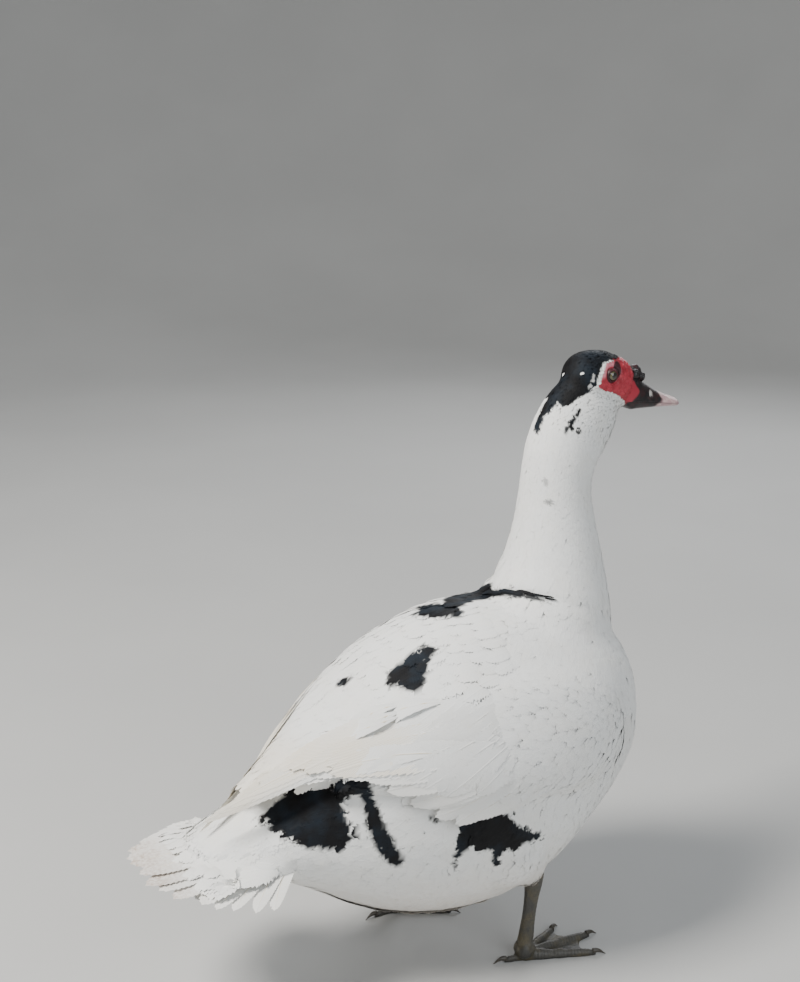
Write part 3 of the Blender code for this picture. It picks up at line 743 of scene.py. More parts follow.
def heightAlong(u, slope):
    # quick up from the root, then a gentle climb so that each feather rests on the one behind it
    return (1 - slope) * (1 - (1 - np.clip(u, 0, 1)) ** 4.5) + slope * u - 0.035 * smoothStep(0.70, 1.02, u)


def growVanes(stations, ups, lengths, widths, rise, template, rng, fray=1.0, camber=0.05, twist=0.0, slope=0.15):
    # every vane bends with the four points it passes through
    u, v, kind = template["u"], template["v"], template["kind"]
    count, k = len(stations), len(u)
    uu = np.tile(u, (count, 1))
    vv = np.tile(v, (count, 1))
    isTip = kind == 2
    isMid = kind == 1
    uu[:, isTip] += rng.normal(0, 0.022 * fray, (count, isTip.sum()))
    vv[:, isTip] *= 1 + rng.normal(0, 0.07 * fray, (count, isTip.sum()))
    notch = rng.random((count, isMid.sum())) < 0.07 * fray
    vv[:, isMid] *= np.where(notch, 0.72, 1 + rng.normal(0, 0.02 * fray, (count, isMid.sum())))
    vv += twist * rng.normal(0, 1, (count, 1)) * 0.10 * uu ** 2
    flat = np.clip(uu, 0, 1.02).ravel()
    basis = lagrange(flat).reshape(count, k, 4)
    centre = np.einsum("nkj,njc->nkc", basis, stations)
    up = np.einsum("nkj,njc->nkc", basis, ups)
    up = unit(up)
    ahead = lagrange(np.clip(flat + 0.02, 0, 1.04)).reshape(count, k, 4)
    way = np.einsum("nkj,njc->nkc", ahead, stations) - centre
    way = unit(way, 1e-12)
    side = np.cross(up, way)
    side = unit(side, 1e-12)
    half = widths[:, None] / 2
    height = rise[:, None] * heightAlong(uu, slope)
    height = height - camber * half * vv ** 2 * (0.4 + 0.6 * uu)
    return centre + side * (half * vv)[:, :, None] + up * height[:, :, None], uu, vv


class Pile:
    # gathers vanes, shafts and other strips that become one joined mesh
    def __init__(self):
        self.points, self.quads, self.tris, self.place, self.vane, self.values = [], [], [], [], [], {}
        self.size = 0

    def add(self, points, quads, tris, place, vane, values):
        self.points.append(points)
        self.quads.append(np.asarray(quads, int).reshape(-1, 4) + self.size)
        self.tris.append(np.asarray(tris, int).reshape(-1, 3) + self.size)
        self.place.append(place)
        self.vane.append(vane)
        for key in ("dark", "tone", "cream", "shaft", "dirtAndGroundReflection"):
            given = np.broadcast_to(np.asarray(values.get(key, 0.0), float), (len(points),))
            self.values.setdefault(key, []).append(given)
        self.size += len(points)

    def addVanes(self, points, uu, vv, template, place, values):
        count, k = uu.shape
        offset = (np.arange(count) * k)[:, None, None]
        quads = (template["quads"][None] + offset).reshape(-1, 4)
        tris = (template["tris"][None] + offset).reshape(-1, 3)
        spot = np.stack([
            place[:, 0][:, None] + 0.003 * (np.clip(uu, 0, 1) - 0.5),
            place[:, 1][:, None] + 0.0015 * np.clip(vv, -1, 1),
        ], 2).reshape(-1, 2)
        vane = np.stack([uu, vv * 0.5 + 0.5], 2).reshape(-1, 2)
        spread = {}
        for key, given in values.items():
            given = np.asarray(given, float)
            if given.ndim == 0:
                spread[key] = given
            else:
                spread[key] = np.repeat(given, k) if given.shape == (count,) else given.ravel()
        self.add(points.reshape(-1, 3), quads, tris, spot, vane, spread)

    def build(self, name):
        made = meshObject(
            name, np.concatenate(self.points), np.concatenate(self.quads), np.concatenate(self.tris)
        )
        setUv(made, "OFBake", np.concatenate(self.place))
        setUv(made, "vane", np.concatenate(self.vane))
        for key, given in self.values.items():
            setValues(made, key, np.concatenate(given))
        return made


def bodyUnwrap(points, share, ends=None):
    # the skin's own unwrap: along the flow line, and round it
    middle, way = [
        np.stack([np.interp(share, flowShare, line[:, k]) for k in range(3)], 1) for line in (flowAt, flowWay)
    ]
    cross = np.stack([-way[:, 2], np.zeros(len(points)), way[:, 0]], 1)
    out = points - middle
    angle = np.arctan2(out[:, 1], (out * cross).sum(1) * -1)
    around = angle / (2 * math.pi) + 0.5
    low, high = ends or (share.min(), share.max() + 1e-6)
    return np.stack([0.01 + 0.98 * np.clip((share - low) / (high - low), 0, 1), 0.01 + 0.98 * around], 1)


# coat over the skin
coatSets = {
    "head": {"rows": 5, "long": 3.6, "wide": 1.9, "rise": 0.95, "fray": 1.2, "camber": 0.05, "slope": 0.16},
    "neck": {"rows": 6, "long": 4.6, "wide": 2.75, "rise": 0.95, "fray": 1.2, "camber": 0.05, "slope": 0.15},
    "breast": {"rows": 7, "long": 4.8, "wide": 2.95, "rise": 0.95, "fray": 1.1, "camber": 0.05, "slope": 0.15},
    "back": {"rows": 7, "long": 4.9, "wide": 2.8, "rise": 0.92, "fray": 1.0, "camber": 0.05, "slope": 0.15},
    "belly": {"rows": 7, "long": 5.0, "wide": 3.0, "rise": 0.97, "fray": 1.6, "camber": 0.04, "slope": 0.18},
    "rump": {"rows": 7, "long": 4.9, "wide": 2.7, "rise": 0.95, "fray": 1.1, "camber": 0.05, "slope": 0.15},
    "thighs": {"rows": 7, "long": 4.6, "wide": 2.6, "rise": 0.95, "fray": 1.6, "camber": 0.04, "slope": 0.18},
    "wingRight": {"rows": 7, "long": 4.8, "wide": 2.5, "rise": 0.90, "fray": 0.8, "camber": 0.05, "slope": 0.15},
    "wingLeft": {"rows": 7, "long": 4.8, "wide": 2.5, "rise": 0.90, "fray": 0.8, "camber": 0.05, "slope": 0.15},
}


def zoneOf(points, owners):
    x, y, z = points.T
    zone = np.full(len(x), "back", dtype="U12")
    zone[owners == "rump"] = "rump"
    zone[(owners == "trunk") & (z < 0.150)] = "belly"
    zone[(owners == "trunk") & (z < 0.150) & (x > 0.03)] = "breast"
    zone[owners == "breast"] = "breast"
    zone[np.char.startswith(owners.astype(str), "neck")] = "neck"
    zone[(owners == "head") | np.char.startswith(owners.astype(str), "face")] = "head"
    zone[np.char.startswith(owners.astype(str), "thigh")] = "thighs"
    zone[owners == "wing_right"] = "wingRight"
    zone[owners == "wing_left"] = "wingLeft"
    return zone


rootWays, rootShare = flowOf(roots, rootNormals, rootOwners)
rootZone = zoneOf(roots, rootOwners)
tell("feather lie")


def growCoat(zone, material):
    style = coatSets[zone]
    rng = np.random.default_rng(sum(ord(c) for c in zone))
    here = np.nonzero(rootZone == zone)[0]
    start, ways, sizes = roots[here], rootWays[here], rootSizes[here]
    ups = rootNormals[here]
    count = len(here)
    # each feather leans a little off the common lie
    lean = rng.normal(0, math.radians(7), count)
    aside = np.cross(ups, ways)
    ways = ways * np.cos(lean)[:, None] + aside * np.sin(lean)[:, None]
    lengths = sizes * style["long"] * rng.uniform(0.85, 1.2, count)
    widths = sizes * style["wide"] * rng.uniform(0.9, 1.12, count)
    bareGap = -bareAt(start)
    lengths *= mix(0.60, 1.0, smoothStep(0.0, 0.006, bareGap))
    stations, stationUps = followSkin(start - ups * 0.0003, ways, lengths)
    depth = skinDepth(stations[:, 2])
    depth = np.maximum(depth, 0.0006)
    # shoulder feathers lie over the front of the folded wing, and fade out behind it
    x, y, z = start.T
    shoulder = smoothStep(-0.002, 0.022, x) * smoothStep(0.036, 0.066, np.abs(y))
    shoulder = shoulder * smoothStep(0.115, 0.150, z) * smoothStep(0.270, 0.235, z)
    lengths = lengths * (1 + 0.35 * shoulder)
    depth = depth + 0.0012 * shoulder
    if zone.startswith("wing"):
        depth = depth * mix(0.78, 1.0, smoothStep(-0.010, 0.020, x))
    rise = depth * style["rise"] * rng.uniform(0.985, 1.02, count)
    template = vaneTemplate(style["rows"])
    points, uu, vv = growVanes(
        stations, stationUps, lengths, widths, rise, template, rng, style["fray"], style["camber"], 1.0, style["slope"]
    )
    jitter = np.repeat(rng.normal(0, 1.0, count), uu.shape[1])
    dark = darkAt(points.reshape(-1, 3), jitter)
    place = bodyUnwrap(start, rootShare[here])
    pile = Pile()
    pile.addVanes(points, uu, vv, template, place, {"dark": dark, "tone": rng.random(count)})
    return finishPiece(pile.build("coat" + zone[0].upper() + zone[1:]), material)


# materials
def newMaterial(name):
    material = bpy.data.materials.new(name)
    material.use_nodes = True
    tree = material.node_tree
    return material, tree, tree.nodes["Principled BSDF"]


def link(tree, a, b):
    tree.links.new(a, b)


def addNode(tree, kind, **values):
    node = tree.nodes.new(kind)
    for key, value in values.items():
        setattr(node, key, value)
    return node


def attributeValue(tree, name):
    return addNode(tree, "ShaderNodeAttribute", attribute_name=name).outputs["Fac"]


def colourMix(tree, factor, a, b):
    node = addNode(tree, "ShaderNodeMix", data_type="RGBA", clamp_factor=True)
    for socket, value in ((node.inputs[0], factor), (node.inputs[6], a), (node.inputs[7], b)):
        if isinstance(value, (tuple, list)):
            socket.default_value = (*value, 1.0)
        elif isinstance(value, (int, float)):
            socket.default_value = value
        else:
            link(tree, value, socket)
    return node.outputs[2]


def mathNode(tree, operation, a, b=0.0, c=0.0, clamp=False):
    node = addNode(tree, "ShaderNodeMath", operation=operation, use_clamp=clamp)
    for socket, value in zip(node.inputs, (a, b, c)):
        if isinstance(value, (int, float)):
            socket.default_value = value
        else:
            link(tree, value, socket)
    return node.outputs[0]


def times(tree, a, b):
    return mathNode(tree, "MULTIPLY", a, b)


def addBump(tree, shader, height, strength, distance):
    bump = addNode(tree, "ShaderNodeBump")
    bump.inputs["Strength"].default_value = strength
    bump.inputs["Distance"].default_value = distance
    link(tree, height, bump.inputs["Height"])
    link(tree, bump.outputs["Normal"], shader.inputs["Normal"])


def newGroup(name, inputs, outputs):
    tree = bpy.data.node_groups.new(name, "ShaderNodeTree")
    for label, kind, value in inputs:
        socket = tree.interface.new_socket(name=label, in_out="INPUT", socket_type=kind)
        if value is not None:
            socket.default_value = value
    for label, kind in outputs:
        tree.interface.new_socket(name=label, in_out="OUTPUT", socket_type=kind)
    return tree, tree.nodes.new("NodeGroupInput"), tree.nodes.new("NodeGroupOutput")


def placeGroup(tree, group, **values):
    node = tree.nodes.new("ShaderNodeGroup")
    node.node_tree = group
    for key, value in values.items():
        socket = node.inputs[key]
        if isinstance(value, (int, float, tuple)):
            socket.default_value = value
        else:
            link(tree, value, socket)
    return node


def buildBarbGroup():
    # fine lines that run out and forward from the shaft, and the shaft itself
    tree, source, sink = newGroup(
        "barbLines",
        [("Vane", "NodeSocketVector", None), ("Count", "NodeSocketFloat", 40.0), ("Slant", "NodeSocketFloat", 0.35)],
        [("Line", "NodeSocketFloat"), ("Shaft", "NodeSocketFloat")],
    )
    split = tree.nodes.new("ShaderNodeSeparateXYZ")
    link(tree, source.outputs["Vane"], split.inputs[0])
    off = mathNode(tree, "SUBTRACT", split.outputs["Y"], 0.5)
    away = mathNode(tree, "ABSOLUTE", off)
    slanted = times(tree, away, source.outputs["Slant"])
    along = mathNode(tree, "SUBTRACT", split.outputs["X"], slanted)
    phase = times(tree, along, source.outputs["Count"])
    phase = times(tree, phase, 6.2832)
    wave = mathNode(tree, "SINE", phase)
    wave = mathNode(tree, "MULTIPLY_ADD", wave, 0.5, 0.5)
    link(tree, wave, sink.inputs["Line"])
    shaft = mathNode(tree, "SUBTRACT", 1.0, times(tree, away, 22.0), clamp=True)
    link(tree, shaft, sink.inputs["Shaft"])
    return tree


def buildMottleGroup():
    # slow wandering mask in the object's own metres
    tree, source, sink = newGroup(
        "mottle",
        [("Size", "NodeSocketFloat", 40.0), ("Low", "NodeSocketFloat", 0.35), ("High", "NodeSocketFloat", 0.65)],
        [("Mask", "NodeSocketFloat")],
    )
    place = tree.nodes.new("ShaderNodeTexCoord")
    noise = tree.nodes.new("ShaderNodeTexNoise")
    noise.inputs["Detail"].default_value = 4.0
    link(tree, place.outputs["Object"], noise.inputs["Vector"])
    link(tree, source.outputs["Size"], noise.inputs["Scale"])
    spread = tree.nodes.new("ShaderNodeMapRange")
    spread.interpolation_type = "SMOOTHSTEP"
    link(tree, noise.outputs["Fac"], spread.inputs["Value"])
    link(tree, source.outputs["Low"], spread.inputs["From Min"])
    link(tree, source.outputs["High"], spread.inputs["From Max"])
    link(tree, spread.outputs["Result"], sink.inputs["Mask"])
    return tree


def buildPebbleGroup():
    # rounded cells, as on bare skin, bill and leg scales
    tree, source, sink = newGroup(
        "pebbles",
        [("Size", "NodeSocketFloat", 900.0), ("Stretch", "NodeSocketVector", (1.0, 1.0, 1.0))],
        [("Height", "NodeSocketFloat"), ("Crease", "NodeSocketFloat")],
    )
    place = tree.nodes.new("ShaderNodeTexCoord")
    scale = addNode(tree, "ShaderNodeVectorMath", operation="MULTIPLY")
    link(tree, place.outputs["Object"], scale.inputs[0])
    link(tree, source.outputs["Stretch"], scale.inputs[1])
    cells = addNode(tree, "ShaderNodeTexVoronoi", feature="SMOOTH_F1")
    link(tree, scale.outputs[0], cells.inputs["Vector"])
    link(tree, source.outputs["Size"], cells.inputs["Scale"])
    edges = addNode(tree, "ShaderNodeTexVoronoi", feature="DISTANCE_TO_EDGE")
    link(tree, scale.outputs[0], edges.inputs["Vector"])
    link(tree, source.outputs["Size"], edges.inputs["Scale"])
    height = mathNode(tree, "SUBTRACT", 1.0, cells.outputs["Distance"])
    link(tree, height, sink.inputs["Height"])
    crease = mathNode(tree, "SUBTRACT", 1.0, times(tree, edges.outputs["Distance"], 8.0), clamp=True)
    link(tree, crease, sink.inputs["Crease"])
    return tree


barbGroup = buildBarbGroup()
mottleGroup = buildMottleGroup()
pebbleGroup = buildPebbleGroup()

# the warm brown for low on the body is painted reflection of the ground; the dirt brown is real dirt on the tail's tips
featherLook = {
    "white": (0.86, 0.865, 0.85), "whiteShade": (0.74, 0.75, 0.74), "cream": (0.84, 0.76, 0.62),
    "dirtAndGroundReflection": (0.66, 0.53, 0.42), "dirt": (0.36, 0.25, 0.18), "shaft": (0.80, 0.70, 0.52),
    "black": (0.008, 0.008, 0.009), "blackPaintedSheen": (0.012, 0.017, 0.024),
}


def featherMaterial(name, barbs=26.0, barbDepth=0.25):
    material, tree, shader = newMaterial(name)
    vane = addNode(tree, "ShaderNodeUVMap", uv_map="vane")
    barbLines = placeGroup(tree, barbGroup, Vane=vane.outputs[0], Count=barbs)
    patchy = placeGroup(tree, mottleGroup, Size=55.0, Low=0.40, High=0.68)
    fine = placeGroup(tree, mottleGroup, Size=420.0, Low=0.30, High=0.75)
    tone = attributeValue(tree, "tone")
    white = colourMix(tree, times(tree, tone, 0.22), featherLook["white"], featherLook["whiteShade"])
    white = colourMix(tree, times(tree, patchy.outputs["Mask"], 0.10), white, featherLook["cream"])
    white = colourMix(tree, times(tree, barbLines.outputs["Line"], 0.10), white, featherLook["whiteShade"])
    white = colourMix(tree, attributeValue(tree, "cream"), white, featherLook["cream"])
    white = colourMix(tree, times(tree, attributeValue(tree, "shaft"), 0.8), white, featherLook["shaft"])
    # painted reflection of the ground: a warm tint low on the body; and real dirt on the tail's tips
    place = addNode(tree, "ShaderNodeTexCoord")
    split = addNode(tree, "ShaderNodeSeparateXYZ")
    link(tree, place.outputs["Object"], split.inputs[0])
    low = addNode(tree, "ShaderNodeMapRange", interpolation_type="SMOOTHSTEP")
    low.inputs["From Min"].default_value = 0.125
    low.inputs["From Max"].default_value = 0.040
    link(tree, split.outputs["Z"], low.inputs["Value"])
    # warm tint towards the floor: painted reflection of the ground
    dirtAndGroundReflection = times(tree, low.outputs["Result"], mathNode(tree, "MULTIPLY_ADD", fine.outputs["Mask"], 0.25, 0.22))
    white = colourMix(tree, dirtAndGroundReflection, white, featherLook["dirtAndGroundReflection"])
    spots = times(tree, attributeValue(tree, "dirtAndGroundReflection"), mathNode(tree, "MULTIPLY_ADD", fine.outputs["Mask"], 0.6, 0.35))
    white = colourMix(tree, spots, white, featherLook["dirt"])
    # the black mottles into a blue-black painted sheen
    black = colourMix(tree, patchy.outputs["Mask"], featherLook["black"], featherLook["blackPaintedSheen"])
    dark = attributeValue(tree, "dark")
    colour = colourMix(tree, dark, white, black)
    link(tree, colour, shader.inputs["Base Color"])
    rough = mathNode(tree, "MULTIPLY_ADD", dark, -0.22, 0.74)
    rough = mathNode(tree, "MULTIPLY_ADD", fine.outputs["Mask"], 0.06, rough)
    link(tree, rough, shader.inputs["Roughness"])
    shader.inputs["Specular IOR Level"].default_value = 0.13
    height = mathNode(tree, "ADD", barbLines.outputs["Line"], times(tree, barbLines.outputs["Shaft"], 2.0))
    addBump(tree, shader, height, barbDepth, 0.0003)
    return material


def skinMaterial():
    material, tree, shader = newMaterial("skinFinish")
    look = {
        "down": (0.80, 0.79, 0.76), "black": (0.014, 0.014, 0.016), "red": (0.50, 0.040, 0.062),
        "redDeep": (0.30, 0.014, 0.026), "pink": (0.72, 0.26, 0.31), "maroon": (0.022, 0.003, 0.006),
    }
    pebbles = placeGroup(tree, pebbleGroup, Size=1500.0)
    patchy = placeGroup(tree, mottleGroup, Size=190.0, Low=0.35, High=0.70)
    rim = attributeValue(tree, "rim")
    red = colourMix(tree, patchy.outputs["Mask"], look["red"], look["redDeep"])
    red = colourMix(tree, times(tree, pebbles.outputs["Crease"], 0.45), red, look["redDeep"])
    red = colourMix(tree, rim, red, look["pink"])
    # painted shade round the eye, in dark maroon
    red = colourMix(tree, attributeValue(tree, "eyeHollowShade"), red, look["maroon"])
    plume = colourMix(tree, attributeValue(tree, "dark"), look["down"], look["black"])
    bare = attributeValue(tree, "bare")
    link(tree, colourMix(tree, bare, plume, red), shader.inputs["Base Color"])
    rough = mathNode(tree, "MULTIPLY_ADD", bare, -0.34, 0.80)
    link(tree, rough, shader.inputs["Roughness"])
    shader.inputs["Subsurface Weight"].default_value = 0.06
    shader.inputs["Subsurface Radius"].default_value = (0.0030, 0.0009, 0.0006)
    shader.inputs["Subsurface Scale"].default_value = 1.0
    addBump(tree, shader, pebbles.outputs["Height"], 0.5, 0.00025)
    return material


coatFinish = featherMaterial("coatFinish")
quillFinish = featherMaterial("quillFinish", barbs=60.0, barbDepth=0.4)


def finishSkin():
    points = pointsOf(skin)
    h = headCoords(points)
    rho = np.hypot(h[:, 0] - head["eye"][0], h[:, 2] - head["eye"][2])
    angle = np.arctan2(h[:, 2] - head["eye"][2], h[:, 0] - head["eye"][0])
    band = smoothStep(0.0058, 0.0070, rho) * smoothStep(0.0112, 0.0085, rho)
    arc = smoothStep(0.1, 0.7, angle) + smoothStep(-2.6, -3.1, angle)
    setValues(skin, "rim", np.clip(band * np.clip(arc, 0, 1), 0, 1) * 0.8)
    # painted shade: dark maroon in the hollow in front of and above the eye, and right round the lids
    dx, dz = h[:, 0] - head["eye"][0], h[:, 2] - head["eye"][2]
    corner = np.hypot((dx - 0.0044) / 0.0038, (dz - 0.0044) / 0.0064)
    eyeHollowShade = smoothStep(1.20, 0.90, corner) + smoothStep(0.0064, 0.0052, rho)
    setValues(skin, "eyeHollowShade", np.clip(eyeHollowShade, 0, 1) * (rho < 0.0145) * 0.97)
    finishPiece(skin, skinMaterial(), fleshNames)


finishSkin()
for zoneName in coatSets:
    piece = growCoat(zoneName, coatFinish)
    print("  ", piece.name, sum(len(p.vertices) - 2 for p in piece.data.polygons))
tell("coat")


# rows of numbers read as a smooth curve
def readRows(rows, count):
    rows = np.array(rows, float)
    gaps = np.sqrt(np.hypot(*np.diff(rows[:, :2], axis=0).T))
    places = np.concatenate([[0], np.cumsum(gaps)])
    slopes = np.gradient(rows, places, axis=0)
    at = np.linspace(0, places[-1], count + 1)
    index = np.clip(np.searchsorted(places, at, side="right") - 1, 0, len(rows) - 2)
    span = (places[index + 1] - places[index])[:, None]
    t = (at[:, None] - places[index][:, None]) / span
    return (
        rows[index] * (2 * t**3 - 3 * t**2 + 1) + slopes[index] * span * (t**3 - 2 * t**2 + t)
        + rows[index + 1] * (3 * t**2 - 2 * t**3) + slopes[index + 1] * span * (t**3 - t**2)
    )


def loftRings(name, rings, capStart=True, capEnd=True):
    # rings: many closed rings of the same count, capped with a fan at each end
    rings = np.asarray(rings, float)
    m, n, _ = rings.shape
    points = rings.reshape(-1, 3)
    i = np.arange(m - 1)[:, None] * n
    j = np.arange(n)[None]
    k = (j + 1) % n
    quads = np.stack([i + j, i + k, i + n + k, i + n + j], 2).reshape(-1, 4)
    tris = []
    j, k = j[0], k[0]
    if capStart:
        points = np.vstack([points, rings[0].mean(0)])
        tris.append(np.stack([np.full(n, len(points) - 1), k, j], 1))
    if capEnd:
        points = np.vstack([points, rings[-1].mean(0)])
        tris.append(np.stack([np.full(n, len(points) - 1), (m - 1) * n + j, (m - 1) * n + k], 1))
    made = meshObject(name, points, quads, np.concatenate(tris) if tris else None)
    work = bmesh.new()
    work.from_mesh(made.data)
    bmesh.ops.recalc_face_normals(work, faces=work.faces)
    work.to_mesh(made.data)
    work.free()
    return made


# wings: the folded wing's outer face, and the rows of large feathers laid over it
wing = {
    "rows": (
        (0.070, 0.0620, 0.188, 0.0120, 0.0035, 10.0, 0.001), (0.053, 0.0745, 0.193, 0.0300, 0.0085, 13.0, 0.004),
        (0.014, 0.0860, 0.198, 0.0430, 0.0098, 17.0, 0.005), (-0.036, 0.0885, 0.201, 0.0450, 0.0098, 20.0, 0.005),
        (-0.084, 0.0805, 0.203, 0.0400, 0.0092, 24.0, 0.005), (-0.126, 0.0640, 0.200, 0.0305, 0.0085, 30.0, 0.004),
        (-0.162, 0.0490, 0.191, 0.0210, 0.0075, 34.0, 0.002), (-0.196, 0.0370, 0.178, 0.0150, 0.0058, 34.0, 0.001),
        (-0.228, 0.0270, 0.165, 0.0090, 0.0038, 32.0, 0.001), (-0.250, 0.0210, 0.156, 0.0035, 0.0018, 30.0, 0.000),
    ),
    "power": 2.4, "tuckStart": -0.070, "tuckDrop": 0.020, "tuckInwards": 0.014,
    # how far the left wing's end reaches in over the rump, by x
    "crossing": (
        (-0.250, 0.013), (-0.220, 0.016), (-0.200, 0.013), (-0.180, 0.009), (-0.160, 0.004), (-0.145, 0.0), (0.1, 0.0),
    ),
}
wingCurve = readRows(wing["rows"], 80)[::-1]


def wingPlace(side, x, q, lift):
    # x in the rows' own numbers, q from -1 at the lower edge to 1 at the top edge
    y, z, high, thick, lean, curl = [np.interp(x, wingCurve[:, 0], wingCurve[:, c]) for c in range(1, 7)]
    if side > 0:
        share = np.clip((x - wing["tuckStart"]) / (wing["rows"][-1][0] - wing["tuckStart"]), 0, 1)
        crossing = np.interp(x, [c[0] for c in wing["crossing"]], [c[1] for c in wing["crossing"]])
        y = y - wing["tuckInwards"] * share - crossing
        z = z - wing["tuckDrop"] * share
    tilt = np.radians(lean)
    zero = np.zeros_like(tilt)
    up = np.stack([zero, -side * np.sin(tilt), np.cos(tilt)], -1)
    out = np.stack([zero, side * np.cos(tilt), np.sin(tilt)], -1)
    inner = np.clip(np.abs(q), 0, 1)
    off = thick * (1 - inner ** wing["power"]) ** (1 / wing["power"]) - curl * q ** 2
    centre = np.stack([x + bodyShift, side * y, z], -1)
    at = centre + out * (off + lift)[..., None] + up * (high * q)[..., None]
    slope = -(thick * inner ** (wing["power"] - 1) + 2 * curl * inner) * np.sign(q) / high
    face = out - up * slope[..., None] * 0.8
    return at, unit(face)


# the wing's lower edge: x in the rows' own numbers, and q
wingEdge = (
    (-0.250, -0.20), (-0.205, -0.10), (-0.187, 0.05), (-0.160, -0.34), (-0.1468, -0.60), (-0.1357, -0.80),
    (-0.1254, -1.01), (-0.1069, -1.26), (-0.0881, -1.37), (-0.0713, -1.19), (-0.0608, -0.93), (-0.040, -0.75),
    (0.000, -0.60), (0.050, -0.40),
)
# root and tip: x from-to and q from-to; an "edge" number puts the tips that share of the way to the lower edge
wingRows = (
    {"name": "primaries", "count": 10, "rootX": (-0.108, -0.138), "rootQ": (0.90, 0.05), "tipX": (-0.204, -0.2488),
     "tipQ": (1.0, 0.0), "wide": (0.0145, 0.0100), "lift": (-0.0024, 0.0004), "round": 0.80, "cream": 0.85, "rows": 24},
    {"name": "secondaries", "count": 13, "rootX": (0.010, -0.100), "rootQ": (-0.45, -0.10), "tipX": (-0.058, -0.186),
     "edge": 1.0, "wide": (0.022, 0.018), "lift": (-0.0034, -0.0012), "round": 1.05, "cream": 0.12, "rows": 22,
     "clear": 0.0052},
    {"name": "tertials", "count": 6, "rootX": (-0.044, -0.082), "rootQ": (0.0, 0.75), "tipX": (-0.166, -0.204),
     "tipQ": (-0.20, 1.0), "wide": (0.026, 0.020), "lift": (-0.0020, 0.0014), "round": 0.80, "cream": 0.80, "rows": 22},
    {"name": "greater", "count": 17, "rootX": (0.030, -0.090), "rootQ": (-0.12, 0.08), "tipX": (-0.012, -0.142),
     "edge": 0.66, "wide": (0.021, 0.018), "lift": (-0.0034, -0.0006), "round": 1.10, "cream": 0.0, "rows": 14,
     "clear": 0.0056},
    {"name": "median", "count": 18, "rootX": (0.034, -0.080), "rootQ": (0.14, 0.34), "tipX": (0.002, -0.124),
     "edge": 0.28, "wide": (0.018, 0.017), "lift": (-0.0032, 0.0000), "round": 1.10, "cream": 0.0, "rows": 14},
    {"name": "lesser", "count": 18, "rootX": (0.036, -0.068), "rootQ": (0.44, 0.60), "tipX": (0.010, -0.104),
     "tipQ": (0.00, 0.25), "wide": (0.016, 0.015), "lift": (-0.0030, 0.0004), "round": 1.05, "cream": 0.0, "rows": 14},
)


def shaftStrip(stations, ups, rise, radius):
    # a thin three-sided ridge along the middle of each vane
    steps = 9
    u = np.linspace(0.0, 0.90, steps)
    basis = lagrange(u)
    ahead = lagrange(np.clip(u + 0.02, 0, 1))
    centre = np.einsum("kj,njc->nkc", basis, stations)
    up = np.einsum("kj,njc->nkc", basis, ups)
    up = unit(up)
    way = np.einsum("kj,njc->nkc", ahead, stations) - centre
    side = np.cross(up, way)
    side = unit(side, 1e-12)
    height = rise[:, None] * heightAlong(u, 0.15)[None]
    size = radius * (1 - 0.85 * u)[None, :, None]
    middle = centre + up * height[:, :, None]
    foot = up * size * 0.4
    ring = np.stack([middle - side * size - foot, middle + up * size * 0.8, middle + side * size - foot], 2)
    count = len(stations)
    index = np.arange(count * steps * 3).reshape(count, steps, 3)
    a, b = index[:, :-1], index[:, 1:]
    quads = np.concatenate([
        np.stack([a[:, :, 0], a[:, :, 1], b[:, :, 1], b[:, :, 0]], 2).reshape(-1, 4),
        np.stack([a[:, :, 1], a[:, :, 2], b[:, :, 2], b[:, :, 1]], 2).reshape(-1, 4),
    ])
    vane = np.stack([np.tile(u[None, :, None], (count, 1, 3)), np.full((count, steps, 3), 0.5)], 3)
    return ring.reshape(-1, 3), quads, vane.reshape(-1, 2), steps * 3


def overSkin(at, face, clear):
    # stations that would sink into the body are pushed out until they clear its coat
    for index in np.ndindex(at.shape[:2]):
        hit, _, tri, _ = skinTree.find_nearest(Vector(at[index]))
        up = triNormals[tri]
        short = clear[index] - (at[index] - np.array(hit)) @ up
        if short > 0:
            at[index] = at[index] + up * short
            share = min(short / 0.006, 1.0)
            face[index] = face[index] * (1 - share) + up * share
    return at, unit(face)


